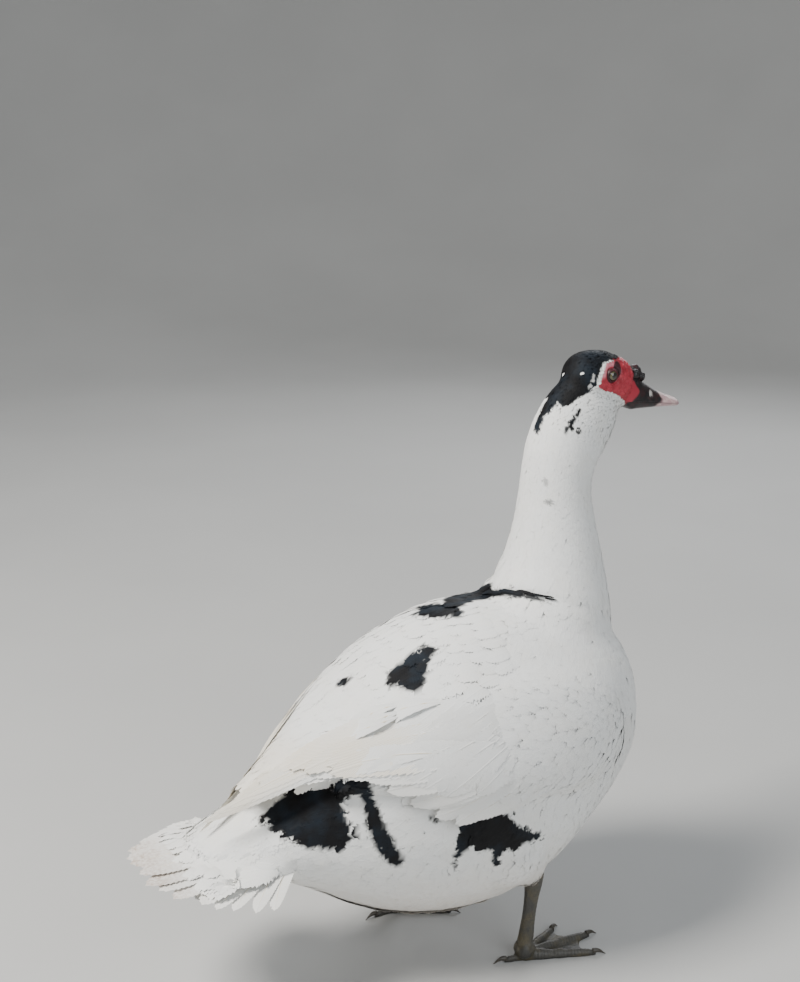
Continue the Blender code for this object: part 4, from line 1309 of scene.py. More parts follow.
def layWing(side, material):
    rng = np.random.default_rng(40 + side)
    piles = {"quills": Pile(), "coverts": Pile()}
    for row in wingRows:
        count, rows = row["count"], row["rows"]
        large = rows > 20
        t = np.linspace(0, 1, count)
        wobble = rng.normal(0, 1, (count, 3))
        x0 = mix(*row["rootX"], t) + 0.0008 * wobble[:, 0]
        x1 = mix(*row["tipX"], t) + 0.0020 * wobble[:, 1]
        q0 = mix(*row["rootQ"], t)
        if "edge" in row:
            q1 = row["edge"] * np.interp(x1, [e[0] for e in wingEdge], [e[1] for e in wingEdge])
        else:
            q1 = mix(*row["tipQ"], t)
        q1 = q1 + 0.025 * wobble[:, 2]
        share = lagrangeAt[None]
        x = x0[:, None] + (x1 - x0)[:, None] * share
        q = q0[:, None] + (q1 - q0)[:, None] * share ** 1.25
        layer = np.linspace(0.0005, -0.0005, count)[:, None]
        lift = mix(*row["lift"], share ** 0.7) + layer - 0.0030 * smoothStep(-0.062, -0.036, x)
        at, face = wingPlace(side, x, q, lift)
        at, face = overSkin(at, face, row.get("clear", 0.0046) * mix(1.0, 0.25, smoothStep(-0.062, -0.036, x)))
        widths = mix(*row["wide"], t) * rng.uniform(0.94, 1.06, count)
        lengths = np.linalg.norm(at[:, -1] - at[:, 0], axis=1)
        template = vaneTemplate(rows, row["round"], 0.07, 0.92 if large else 0.85)
        flat = np.zeros(count)
        points, uu, vv = growVanes(at, face, lengths, widths, flat, template, rng, 0.30 if large else 0.50, 0.06, 0.5)
        pile = piles["quills" if large else "coverts"]
        place = np.stack([0.02 + 0.94 * (0.07 - x0) / 0.33, 0.05 + 0.9 * (q0 + 1) / 2.2], 1)
        jag = 0.5 + 0.5 * waveNoise(points.reshape(-1, 3), 0.02, 9)
        creamy = row["cream"] * (0.6 + 0.4 * jag) * smoothStep(0.35, 0.85, uu.ravel())
        pile.addVanes(points, uu, vv, template, place, {"tone": rng.random(count), "cream": creamy})
        strip, quads, vane, per = shaftStrip(at, face, flat, 0.00055 if large else 0.00028)
        shaftLook = {"shaft": 1.0 if large else 0.25, "tone": 0.3, "cream": row["cream"]}
        pile.add(strip, quads, [], np.repeat(place, per, 0), vane, shaftLook)
    word = "Right" if side < 0 else "Left"
    where = "right" if side < 0 else "left"
    finishPiece(piles["quills"].build("wingQuills" + word), material, ["primaries_" + where])
    finishPiece(piles["coverts"].build("wingCoverts" + word), material)


# tail: broad quills spread from one root
tail = {
    "root": (-0.144, 0.0, 0.130), "spread": math.radians(44.0), "middle": 0.153, "outer": 0.105,
    "fall": math.radians(5.0), "arch": 0.012, "count": 18,
}


def tailPlace(angle, reach, lift):
    arch = tail["arch"] * (np.sin(angle) / math.sin(tail["spread"])) ** 2 * reach / tail["outer"]
    x = tail["root"][0] + bodyShift - np.cos(angle) * reach
    y = np.sin(angle) * reach
    z = tail["root"][2] + lift - reach * math.sin(tail["fall"]) - arch
    return np.stack([x, y, z], -1)


def layTail(material):
    rng = np.random.default_rng(61)
    pile = Pile()
    count = tail["count"]
    order = np.linspace(-1, 1, count)
    angle = order * tail["spread"] + rng.normal(0, 0.008, count)
    far = tail["middle"] + (tail["outer"] - tail["middle"]) * np.abs(order) ** 1.6
    far = far * rng.uniform(0.965, 1.0, count)
    near = 0.030
    share = lagrangeAt[None]
    reach = near + (far - near)[:, None] * share
    side = np.where(order < 0, -1.0, 1.0)[:, None]
    bent = angle[:, None] * (0.72 + 0.28 * share)
    layer = (0.0026 - 0.0046 * np.abs(order))[:, None] + 0.0010 * share
    at = tailPlace(bent, reach, layer)
    ahead = tailPlace(bent, reach + 0.002, layer) - at
    across = tailPlace(bent + 0.02, reach, layer) - at
    face = np.cross(across, ahead)
    face *= np.sign(face[..., 2:3])
    face = unit(face)
    roll = np.radians(7.0) * side * share
    sideways = np.cross(face, unit(ahead))
    face = face * np.cos(roll)[..., None] + sideways * np.sin(roll)[..., None]
    apart = smoothStep(-0.45, -0.70, order)
    widths = mix(0.031, 0.0200, np.abs(order) ** 1.2) * (1 - 0.36 * apart)
    template = vaneTemplate(30, 1.25, 0.05, 0.95)
    flat = np.zeros(count)
    lengths = far - near
    points, uu, vv = growVanes(at, face, lengths, widths, flat, template, rng, 0.16, 0.06, 0.4)
    place = np.stack([0.06 + 0.88 * (order + 1) / 2, np.full(count, 0.5)], 1)
    dirtAndGroundReflection = smoothStep(-0.180, -0.215, points[..., 0]) * (0.35 + 0.65 * rng.random((count, 1)))
    values = {"tone": rng.random(count), "cream": 0.10, "dirtAndGroundReflection": np.clip(dirtAndGroundReflection, 0, 1)}
    pile.addVanes(points, uu, vv, template, place, values)
    strip, quads, vane, per = shaftStrip(at, face, flat, 0.0007)
    pile.add(strip, quads, [], np.repeat(place, per, 0), vane, {"shaft": 1.0, "tone": 0.3, "cream": 0.3})
    return finishPiece(pile.build("tailQuills"), material, ["tail_fan"])


# long back and shoulder feathers: they drape from one wing's upper edge to the other
mantle = {
    "middle": (
        (0.070, 0.262), (0.010, 0.266), (-0.0376, 0.2465), (-0.0716, 0.2190), (-0.0996, 0.1980), (-0.120, 0.1870),
        (-0.146, 0.1740),
    ),
    "edge": 0.75, "thick": 0.022, "voxel": 0.0038, "relax": 10, "rise": 0.0050,
    "vane": (13, 0.80, 0.09), "seen": ("top",), "ends": (0.5, 1.0), "cream": 0.5, "creamFrom": (-0.095, -0.120),
    "rows": (
        (0.050, 0.026, 0.0130, 50), (0.039, 0.028, 0.0135, 58), (0.028, 0.030, 0.0140, 64), (0.017, 0.032, 0.0145, 68),
        (0.006, 0.035, 0.0150, 71), (-0.005, 0.038, 0.0155, 73), (-0.016, 0.041, 0.0160, 74),
        (-0.027, 0.044, 0.0165, 72),
        (-0.038, 0.046, 0.0170, 68), (-0.049, 0.047, 0.0170, 64), (-0.060, 0.046, 0.0170, 60),
        (-0.070, 0.045, 0.0165, 56),
        (-0.079, 0.043, 0.0160, 50), (-0.088, 0.041, 0.0155, 47), (-0.097, 0.038, 0.0150, 44),
        (-0.106, 0.035, 0.0145, 42),
        (-0.115, 0.033, 0.0140, 38), (-0.123, 0.031, 0.0130, 34),
    ),
    "axis": ((0.060, 0.200), (-0.040, 0.185), (-0.090, 0.150), (-0.110, 0.142)), "apart": 0.0092,
}
# rows that run from the rump on to the tail: x, half the arc that is left open above, length, width
covertRows = (
    (-0.098, 62, 0.034, 0.0135), (-0.107, 55, 0.036, 0.0140), (-0.116, 46, 0.038, 0.0145), (-0.125, 0, 0.040, 0.0145),
    (-0.134, 0, 0.042, 0.0145), (-0.143, 0, 0.042, 0.0140), (-0.151, 0, 0.041, 0.0135), (-0.159, 0, 0.039, 0.0130),
)
covertSet = {
    "axisZ": 0.128, "from": -0.050, "apart": 0.0082, "rise": 0.0036, "sheetThick": 0.012,
    "vane": (11, 1.0, 0.09), "seen": ("side", "top"), "ends": (0.75, 1.0), "cream": 0.05, "creamFrom": (0.1, 0.0),
}


def buildMantleGuide():
    x = np.linspace(0.012, -0.154, 28)
    q = np.full(len(x), mantle["edge"])
    zero = np.zeros(len(x))
    right, _ = wingPlace(-1, x - bodyShift, q, zero)
    left, _ = wingPlace(1, x - bodyShift, q, zero)
    middle = np.interp(-x, [-m[0] for m in mantle["middle"]], [m[1] for m in mantle["middle"]])
    s = np.linspace(-1, 1, 17)
    top = right[:, None] + (left - right)[:, None] * ((s + 1) / 2)[None, :, None]
    arch = middle - (right[:, 2] + left[:, 2]) / 2
    top[..., 2] += arch[:, None] * (1 - s ** 2)[None] - skinSet["bodyDepth"]
    under = top[:, ::-1].copy()
    under[..., 2] -= mantle["thick"]
    slab = loftRings("mantleSlab", np.concatenate([top, under], 1))
    return guideOver(slab)


def buildTailGuide():
    # the fan's root swells into the rump
    reach = np.linspace(0.020, 0.128, 16)
    s = np.linspace(-1, 1, 15)
    angle = s * tail["spread"] * 0.96
    grid = tailPlace(angle[None] + 0 * reach[:, None], reach[:, None] + 0 * angle[None], 0.0)
    thick = mix(covertSet["sheetThick"], 0.0030, smoothStep(0.040, 0.120, reach))[:, None]
    thick = thick * np.sqrt(1.04 - s ** 2)[None]
    top, under = grid.copy(), grid[:, ::-1].copy()
    top[..., 2] += thick / 2
    under[..., 2] -= thick[:, ::-1] / 2
    return guideOver(loftRings("tailSlab", np.concatenate([top, under], 1)))


def guideOver(slab):
    # one smooth surface over the skin and the slab, kept only to lay feathers along
    guide = remeshed("guide", [skin, slab], mantle["voxel"], mantle["relax"])
    points, normals = pointsOf(guide), normalsOf(guide)
    tri = trianglesOf(guide)
    bpy.data.objects.remove(slab, do_unlink=True)
    bpy.data.objects.remove(guide, do_unlink=True)
    face = normals[tri].mean(1)
    face = unit(face)
    return treeOf(points, tri), face


def layRow(pile, rng, roots, path, sizes, look):
    # one row of long body feathers
    (starts, ups), (at, face), (lengths, wide) = roots, path, sizes
    count = len(starts)
    widths = wide * rng.uniform(0.92, 1.08, count)
    rise = np.full(count, look["rise"]) * rng.uniform(0.99, 1.01, count)
    template = vaneTemplate(*look["vane"])
    points, uu, vv = growVanes(at, face, lengths, widths, rise, template, rng, 0.9, 0.05, 0.6, 0.20)
    jitter = np.repeat(rng.normal(0, 0.5, count), uu.shape[1])
    dark = darkAt(points.reshape(-1, 3), jitter, look["seen"])
    share = flowOf(starts, ups, np.full(count, "trunk"))[1]
    cream = look["cream"] * smoothStep(*look["creamFrom"], points[..., 0])
    values = {"dark": dark, "tone": rng.random(count), "cream": cream}
    pile.addVanes(points, uu, vv, template, bodyUnwrap(starts, share, look["ends"]), values)


def layTailCoverts(material):
    tree, faces = buildTailGuide()
    rng = np.random.default_rng(77)
    pile = Pile()
    for n, (x0, openArc, long, wide) in enumerate(covertRows):
        angle = np.radians(np.arange(0, 360, 3.0))
        starts, ups = [], []
        for a in angle:
            way = Vector((0, math.sin(a), math.cos(a)))
            hit, _, face, _ = tree.ray_cast(Vector((x0, 0, covertSet["axisZ"])), way)
            if hit is not None:
                starts.append(np.array(hit))
                ups.append(faces[face])
        ring = np.array(starts)
        # even steps round the ring
        gaps = np.linalg.norm(np.diff(np.vstack([ring, ring[:1]]), axis=0), axis=1)
        run = np.concatenate([[0], np.cumsum(gaps)])
        count = int(run[-1] / covertSet["apart"])
        want = (np.arange(count) + (0.5 if n % 2 else 0.0)) / count * run[-1]
        chosen = np.clip(np.searchsorted(run, want) - 1, 0, len(ring) - 1)
        chosen = chosen[(np.degrees(angle[chosen]) > openArc) & (np.degrees(angle[chosen]) < 360 - openArc)]
        start, up = ring[chosen], np.array(ups)[chosen]
        count = len(start)
        start = start + np.stack([rng.normal(0, 0.0012, count), np.zeros(count), np.zeros(count)], 1)
        way = start - np.array((covertSet["from"], 0, start[:, 2].mean()))
        way[:, 2] = 0
        way = unit(way)
        way = way - up * (way * up).sum(1)[:, None]
        way = unit(way)
        lengths = long * rng.uniform(0.90, 1.10, count)
        at, face = followSkin(start, way, lengths, 3, tree, faces)
        # none that would curl down round the fan's edge
        last = at[:, -1] - at[:, -2]
        last = unit(last)
        flat = (at[:, -1, 2] > 0.106) & ((last * way).sum(1) > 0.86) & (np.abs(at[:, -1, 1]) < 0.058)
        at, face, start, up, lengths = at[flat], face[flat], start[flat], up[flat], lengths[flat]
        layRow(pile, rng, (start, up), (at, face), (lengths, wide), covertSet)
    return finishPiece(pile.build("tailCoverts"), material)


def layMantle(material):
    tree, faces = buildMantleGuide()
    rng = np.random.default_rng(19)
    pile = Pile()
    for n, (x0, long, wide, reach) in enumerate(mantle["rows"]):
        axisZ = float(np.interp(-x0, [-a[0] for a in mantle["axis"]], [a[1] for a in mantle["axis"]]))
        count = int(2 * math.radians(reach) * 0.075 / mantle["apart"]) + 2
        half = math.radians(reach)
        angle = np.linspace(-1, 1, count) * half + (0.5 if n % 2 else 0.0) * half * 2 / count
        starts, ups, ways = [], [], []
        for a in angle:
            shift = rng.normal(0, 0.0012)
            hit, _, face, _ = tree.ray_cast(Vector((x0 + shift, 0, axisZ)), Vector((0, math.sin(a), math.cos(a))))
            if hit is None:
                continue
            up = faces[face]
            way = np.array((-1.0, 0.10 * math.sin(a), -0.30 * abs(math.sin(a)) - 0.10))
            way = way - up * (way @ up)
            lean = rng.normal(0, 0.07)
            way = way / np.linalg.norm(way)
            way = way * math.cos(lean) + np.cross(up, way) * math.sin(lean)
            starts.append(np.array(hit))
            ups.append(up)
            ways.append(way)
        starts, ups, ways = np.array(starts), np.array(ups), np.array(ways)
        count = len(starts)
        lengths = long * rng.uniform(0.90, 1.10, count)
        at, face = followSkin(starts, ways, lengths, 3, tree, faces)
        layRow(pile, rng, (starts, ups), (at, face), (lengths, wide), mantle)
    return finishPiece(pile.build("coatMantle"), material)


# small marks carried by their own feathers: points on the surface, width from-to, feather length, dark
speck = {"long": 0.0034, "step": 0.0034, "dark": 0.0, "over": 0.0007}
accents = {
    # the collar: dark feathers along the fold, partly black plumage and partly painted shadow of the fold
    "collar": {
        "run": (
            (0.0575, 0.0130, 0.2775), (0.0610, 0.0040, 0.2795), (0.0645, -0.0062, 0.2819), (0.0725, -0.0216, 0.2846),
            (0.0800, -0.0305, 0.2842), (0.0872, -0.0369, 0.2831), (0.0900, -0.0390, 0.2820),
        ),
        "wide": (0.0046, 0.0008), "long": 0.0120, "step": 0.0034, "dark": 1.0, "over": 0.0012,
    },
    "speckRear": {**speck, "run": ((0.1255, 0.0028, 0.4398), (0.1225, 0.0031, 0.4388)), "wide": (0.0022, 0.0018)},
    "speckSide": {**speck, "run": ((0.1292, -0.0135, 0.4427), (0.1262, -0.0135, 0.4421)), "wide": (0.0021, 0.0017)},
}


def layAccents(material):
    rng = np.random.default_rng(3)
    pile = Pile()
    for mark in accents.values():
        run = np.array(mark["run"])
        lengths = np.concatenate([[0], np.cumsum(np.linalg.norm(np.diff(run, axis=0), axis=1))])
        at = np.arange(0, max(lengths[-1] - mark["long"] * 0.5, 1e-6), mark["step"])
        point = np.stack([np.interp(at, lengths, run[:, k]) for k in range(3)], 1)
        ahead = np.stack([np.interp(at + 0.002, lengths, run[:, k]) for k in range(3)], 1)
        behind = np.stack([np.interp(at - 0.002, lengths, run[:, k]) for k in range(3)], 1)
        starts, ups, ways = [], [], []
        for p, way in zip(point, ahead - behind):
            hit, _, tri, _ = skinTree.find_nearest(Vector(p))
            up = triNormals[tri]
            way = way - up * (way @ up)
            starts.append(np.array(hit))
            ups.append(up)
            ways.append(way / np.linalg.norm(way))
        starts, ups, ways = np.array(starts), np.array(ups), np.array(ways)
        count = len(starts)
        long = np.full(count, mark["long"]) * rng.uniform(0.92, 1.08, count)
        stations, stationUps = followSkin(starts, ways, long)
        widths = mix(*mark["wide"], at / lengths[-1])
        rise = skinDepth(starts) + mark["over"]
        template = vaneTemplate(8, 0.8, 0.12)
        points, uu, vv = growVanes(stations, stationUps, long, widths, rise, template, rng, 0.5, 0.02, 0.3, 0.05)
        share = flowOf(starts, ups, np.full(count, "trunk"))[1]
        place = bodyUnwrap(starts, share, (0.0, 1.0))
        pile.addVanes(points, uu, vv, template, place, {"dark": mark["dark"], "tone": rng.random(count)})
    return finishPiece(pile.build("coatMarks"), material)


layAccents(coatFinish)
layWing(-1, quillFinish)
layWing(1, quillFinish)
layTail(quillFinish)
layTailCoverts(coatFinish)
tell("wings and tail")
layMantle(coatFinish)
tell("mantle")

# bill
bill = {
    "rows": (
        (0.0195, 0.0040, -0.0288, 0.0110), (0.0300, 0.0010, -0.0276, 0.0114), (0.0400, -0.0040, -0.0252, 0.0110),
        (0.0530, -0.0085, -0.0222, 0.0108), (0.0670, -0.0115, -0.0194, 0.0104), (0.0745, -0.0128, -0.0181, 0.0075),
        (0.0775, -0.0143, -0.0170, 0.0032),
    ),
    "widest": 0.40, "upperPower": 2.0, "lowerPower": 2.6, "front": 0.0252, "gape": (-0.0206, -0.0160),
    "nostril": (0.0447, -0.0118), "nostrilHalf": (0.0017, 0.0035),
}


def gapeAt(x):
    share = (x - bill["front"]) / (bill["rows"][-1][0] - bill["front"])
    return mix(bill["gape"][0], bill["gape"][1], share) + 0.0007 * np.sin(np.clip(share, 0, 1) * math.pi)


def billRings(count, around, first, last):
    rows = readRows(bill["rows"], count)
    rows = rows[(rows[:, 0] >= first) & (rows[:, 0] <= last)]
    angle = 2 * math.pi * (np.arange(around) + 0.5) / around
    c, s = np.cos(angle)[None], np.sin(angle)[None]
    power = np.where(s > 0, bill["upperPower"], bill["lowerPower"])
    across = np.sign(c) * np.abs(c) ** (2 / power)
    up = np.sign(s) * np.abs(s) ** (2 / power)
    x, top, bottom, half = [rows[:, k][:, None] for k in range(4)]
    middle = bottom + bill["widest"] * (top - bottom)
    reach = np.where(up > 0, top - middle, middle - bottom)
    y = half * across
    z = middle + reach * up
    return np.stack([np.broadcast_to(x, y.shape), y, z], 2)


def placeHead(made):
    movePoints(made, pointsOf(made) @ headArray.T + np.array(head["at"]))
    return made


def bumpNoise(points, size, seed):
    return np.clip(waveNoise(points, size, seed), -0.2, 1.0)


def buildUpperBill():
    rings = billRings(90, 96, 0.0215, 0.0780)
    x, y, z = rings[..., 0], rings[..., 1], rings[..., 2]
    # nostril: a drop-shaped hollow with a soft rim
    nx, nz = bill["nostril"]
    hx, hz = bill["nostrilHalf"]
    lean = 0.12 * (z - nz)
    narrow = mix(1.0, 0.45, smoothStep(nz - 0.2 * hz, nz + hz, z))
    hole = np.hypot((x - nx + lean) / (hx * narrow), (z - nz) / hz)
    sideways = np.abs(y) > 0.002
    push = -0.0016 * smoothStep(1.0, 0.72, hole) + 0.00032 * np.exp(-((hole - 1.25) / 0.28) ** 2)
    y = y + np.sign(y) * push * sideways
    # soft lumps toward the face and a shallow hollow along each side
    flat = np.stack([x, y, z], 2).reshape(-1, 3)
    lumps = bumpNoise(flat, 0.0042, 21).reshape(x.shape) * 0.00045 * smoothStep(0.046, 0.026, x)
    centre = gapeAt(x)
    outward = np.stack([np.zeros_like(x), y, z - centre], 2)
    outward = unit(outward, 1e-9)
    y = y + outward[..., 1] * lumps
    z = z + outward[..., 2] * lumps
    floor = gapeAt(x) + 0.00012
    edge = smoothStep(0.0022, 0.0, z - floor)
    y = y * (1 + 0.022 * edge)
    z = np.maximum(z, floor)
    rings = np.stack([x, y, z], 2)
    made = placeHead(loftRings("billUpper", rings))
    h = headCoords(pointsOf(made))
    # the nostril mask carries a painted highlight, a pale patch for light seen through the nostril
    hole = np.hypot((h[:, 0] - nx) / hx, (h[:, 2] - nz) / hz)
    setValues(made, "nostril", smoothStep(0.80, 0.62, hole) * (np.abs(h[:, 1]) > 0.002))
    setValues(made, "horn", hornAt(h))
    setValues(made, "flush", flushAt(h))
    return made


def flushAt(h):
    # the face's red runs out on to the bill's sides in one rounded lobe
    edge = 0.0262 + 0.0066 * np.exp(-(((h[:, 2] + 0.0125) / 0.0060) ** 2)) + 0.0004 * waveNoise(h, 0.003, 8)
    behind = smoothStep(0.0006, -0.0006, h[:, 0] - edge)
    return behind * smoothStep(0.0035, 0.0060, np.abs(h[:, 1])) * smoothStep(-0.0030, -0.0055, h[:, 2])


def hornAt(h):
    # where the black base gives way to the pale pink end
    edge = 0.0562 - 0.0045 * np.abs(h[:, 2] - gapeAt(h[:, 0]) - 0.003) / 0.006
    edge = edge + 0.0009 * waveNoise(h, 0.0045, 31)
    return smoothStep(-0.0016, 0.0022, h[:, 0] - edge)


def buildLowerBill():
    rings = billRings(80, 72, 0.0215, 0.0768)
    x, y, z = rings[..., 0], rings[..., 1] * 0.965, rings[..., 2]
    roof = gapeAt(x) - 0.00012
    # fine plates along the edge
    comb = 0.00016 * np.sin(x / 0.00125 * 2 * math.pi) * smoothStep(0.0018, 0.0, roof - z)
    y = y + np.sign(y) * comb * (x > 0.032)
    z = np.minimum(z, roof)
    # narrower where it goes in under the cheek
    inside = smoothStep(0.0345, 0.0235, x)
    y = y * (1 - 0.30 * inside)
    z = roof + (z - roof) * (1 - 0.62 * inside)
    # a shallow groove along the middle of the underside
    z = z + 0.0009 * np.exp(-((y / 0.0022) ** 2)) * smoothStep(0.030, 0.040, x) * (z < roof - 0.001)
    made = placeHead(loftRings("billLower", np.stack([x, y, z], 2)))
    h = headCoords(pointsOf(made))
    setValues(made, "horn", hornAt(h))
    setValues(made, "nostril", np.zeros(len(h)))
    setValues(made, "flush", 0.7 * flushAt(h))
    return made


def buildNail():
    steps, around = 22, 40
    t = np.linspace(0, 1, steps)[:, None]
    angle = 2 * math.pi * np.arange(around)[None] / around
    x = 0.0662 + 0.0126 * t
    top = np.interp(x, [r[0] for r in bill["rows"]], [r[1] for r in bill["rows"]]) + 0.00045 * smoothStep(0, 0.25, t)
    top = top - 0.0016 * smoothStep(0.75, 1.0, t)
    half = 0.0046 * np.sqrt(np.clip(1 - (np.abs(t - 0.35) / 0.66) ** 2.4, 0.02, 1))
    bottom = np.minimum(top - 0.0012, gapeAt(x) + 0.0006 - 0.0030 * smoothStep(0.55, 1.0, t))
    middle, reach = (top + bottom) / 2, (top - bottom) / 2
    y = half * np.sign(np.cos(angle)) * np.abs(np.cos(angle)) ** 0.9
    droop = 0.0011 * (y / 0.0046) ** 2
    z = middle + reach * np.sin(angle) - droop
    made = placeHead(loftRings("billNail", np.stack([np.broadcast_to(x, y.shape), y, z], 2)))
    count = len(made.data.vertices)
    setValues(made, "horn", np.ones(count))
    setValues(made, "nostril", np.zeros(count))
    return made


def billMaterial():
    material, tree, shader = newMaterial("billFinish")
    look = {
        "black": (0.010, 0.009, 0.010), "maroon": (0.032, 0.010, 0.012), "horn": (0.46, 0.30, 0.31),
        "hornPale": (0.62, 0.48, 0.45), "nostril": (0.72, 0.66, 0.62), "flush": (0.42, 0.030, 0.050),
    }
    pebbles = placeGroup(tree, pebbleGroup, Size=1100.0)
    patchy = placeGroup(tree, mottleGroup, Size=260.0, Low=0.40, High=0.72)
    dark = colourMix(tree, patchy.outputs["Mask"], look["black"], look["maroon"])
    pale = colourMix(tree, patchy.outputs["Mask"], look["horn"], look["hornPale"])
    colour = colourMix(tree, attributeValue(tree, "horn"), dark, pale)
    # painted highlight: the pale patch in the nostril stands in for light seen through it
    colour = colourMix(tree, attributeValue(tree, "nostril"), colour, look["nostril"])
    colour = colourMix(tree, attributeValue(tree, "flush"), colour, look["flush"])
    link(tree, colour, shader.inputs["Base Color"])
    link(tree, mathNode(tree, "MULTIPLY_ADD", pebbles.outputs["Crease"], 0.12, 0.34), shader.inputs["Roughness"])
    addBump(tree, shader, pebbles.outputs["Height"], 0.35, 0.0002)
    return material


billFinish = billMaterial()
finishPiece(buildUpperBill(), billFinish, ["bill_upper"])
finishPiece(buildLowerBill(), billFinish, ["bill_lower"])
finishPiece(buildNail(), billFinish, ["bill_nail"])


# black fleshy knob and the lumpy band at the bill's base
knob = {
    "lumps": (
        (0.0320, 0.0000, 0.0020, 0.0056), (0.0365, 0.0028, -0.0012, 0.0040), (0.0365, -0.0028, -0.0010, 0.0040),
        (0.0290, 0.0050, 0.0002, 0.0042), (0.0290, -0.0050, 0.0002, 0.0042),
    ),
    "bandFrom": 0.0238, "bandTo": 0.0330, "bandCount": 84, "voxel": 0.00055,
}


def buildKnob():
    rng = np.random.default_rng(5)
    work = bmesh.new()

    def lump(at, radius):
        made = bmesh.ops.create_icosphere(work, subdivisions=2, radius=radius)
        bmesh.ops.translate(work, verts=made["verts"], vec=fromHead(at))

    for x, y, z, radius in knob["lumps"]:
        lump((x, y, z), radius)
        for _ in range(9):
            way = rng.normal(size=3)
            way[2] = abs(way[2]) * 0.8
            way /= np.linalg.norm(way)
            at = np.array((x, y, z)) + way * radius * 0.86
            lump(at, rng.uniform(0.0010, 0.0017))
    rows = readRows(bill["rows"], 60)
    for _ in range(knob["bandCount"]):
        angle = rng.uniform(-0.35, math.pi + 0.35)
        x = rng.uniform(knob["bandFrom"], knob["bandTo"]) - 0.0015 * math.sin(angle)
        row = rows[np.argmin(np.abs(rows[:, 0] - x))]
        middle = row[2] + bill["widest"] * (row[1] - row[2])
        reach = row[1] - middle if math.sin(angle) > 0 else middle - row[2]
        radius = rng.uniform(0.0010, 0.0019)
        c = math.cos(angle)
        if math.sin(angle) < 0.62:
            continue
        y = (row[3] - radius * 0.55) * math.copysign(abs(c) ** 0.9, c)
        z = middle + (reach - radius * 0.5) * math.sin(angle)
        lump((x, y, z), radius)
    rough = bpy.data.meshes.new("knobLumps")
    work.to_mesh(rough)
    work.free()
    source = bpy.data.objects.new("knobLumps", rough)
    bpy.context.scene.collection.objects.link(source)
    made = remeshed("knobFlesh", [source], knob["voxel"], 3)
    bpy.data.objects.remove(source, do_unlink=True)
    count = len(made.data.vertices)
    setValues(made, "horn", np.zeros(count))
    setValues(made, "nostril", np.zeros(count))
    return made


finishPiece(buildKnob(), billFinish, ["knob"])


# eyes and lids
eye = {
    "axis": (0.16, 0.985, 0.05), "cornea": 0.00035, "rings": 40, "sectors": 56, "lidRadius": 0.00050,
    # colour by the distance from the pupil's middle
    "stops": (
        (0.0, (0.004, 0.004, 0.004)), (0.375, (0.004, 0.004, 0.004)), (0.40, (0.030, 0.028, 0.012)),
        (0.47, (0.100, 0.094, 0.034)), (0.56, (0.115, 0.100, 0.040)), (0.62, (0.045, 0.034, 0.018)),
        (0.70, (0.010, 0.007, 0.006)),
    ),
}


def buildEye(side):
    centre = np.array((head["eye"][0], head["eye"][1] * side, head["eye"][2]))
    axis = np.array((eye["axis"][0], eye["axis"][1] * side, eye["axis"][2]))
    axis /= np.linalg.norm(axis)
    across = np.cross(axis, (0, 0, 1.0))
    across /= np.linalg.norm(across)
    up = np.cross(across, axis)
    polar = np.linspace(0.02, math.pi - 0.02, eye["rings"])[:, None]
    turn = 2 * math.pi * np.arange(eye["sectors"])[None] / eye["sectors"]
    bulge = eye["cornea"] * np.exp(-(polar / 0.50) ** 4)
    radius = head["eyeRadius"] - 0.00005 + bulge - 0.0004 * (polar > 1.9)
    rings = (
        centre + (radius * np.cos(polar) + 0 * turn)[..., None] * axis
        + (radius * np.sin(polar) * np.cos(turn))[..., None] * across
        + (radius * np.sin(polar) * np.sin(turn))[..., None] * up
    )
    word = "Right" if side < 0 else "Left"
    made = placeHead(loftRings("eye" + word, rings))
    h = headCoords(pointsOf(made)) - centre
    off = np.linalg.norm(h - (h @ axis)[:, None] * axis, axis=1)
    off = np.where(h @ axis > 0, off, 0.02)
    setValues(made, "away", off / 0.006)
    turned = np.arctan2(h @ up, h @ across)
    setValues(made, "turned", turned / math.pi)
    return made


def eyeMaterial():
    material, tree, shader = newMaterial("eyeFinish")
    away = attributeValue(tree, "away")
    ramp = addNode(tree, "ShaderNodeValToRGB")
    for n, (at, colour) in enumerate(eye["stops"]):
        stop = ramp.color_ramp.elements[n] if n < 2 else ramp.color_ramp.elements.new(at)
        stop.position, stop.color = at, (*colour, 1)
    link(tree, away, ramp.inputs[0])
    # fine threads that run out from the pupil
    threads = mathNode(tree, "SINE", times(tree, attributeValue(tree, "turned"), 3.14159 * 46))
    threads = mathNode(tree, "MULTIPLY_ADD", threads, 0.10, 0.10)
    colour = colourMix(tree, threads, ramp.outputs[0], (0.06, 0.045, 0.015))
    link(tree, colour, shader.inputs["Base Color"])
    shader.inputs["Roughness"].default_value = 0.22
    shader.inputs["Coat Weight"].default_value = 1.0
    shader.inputs["Coat Roughness"].default_value = 0.02
    return material


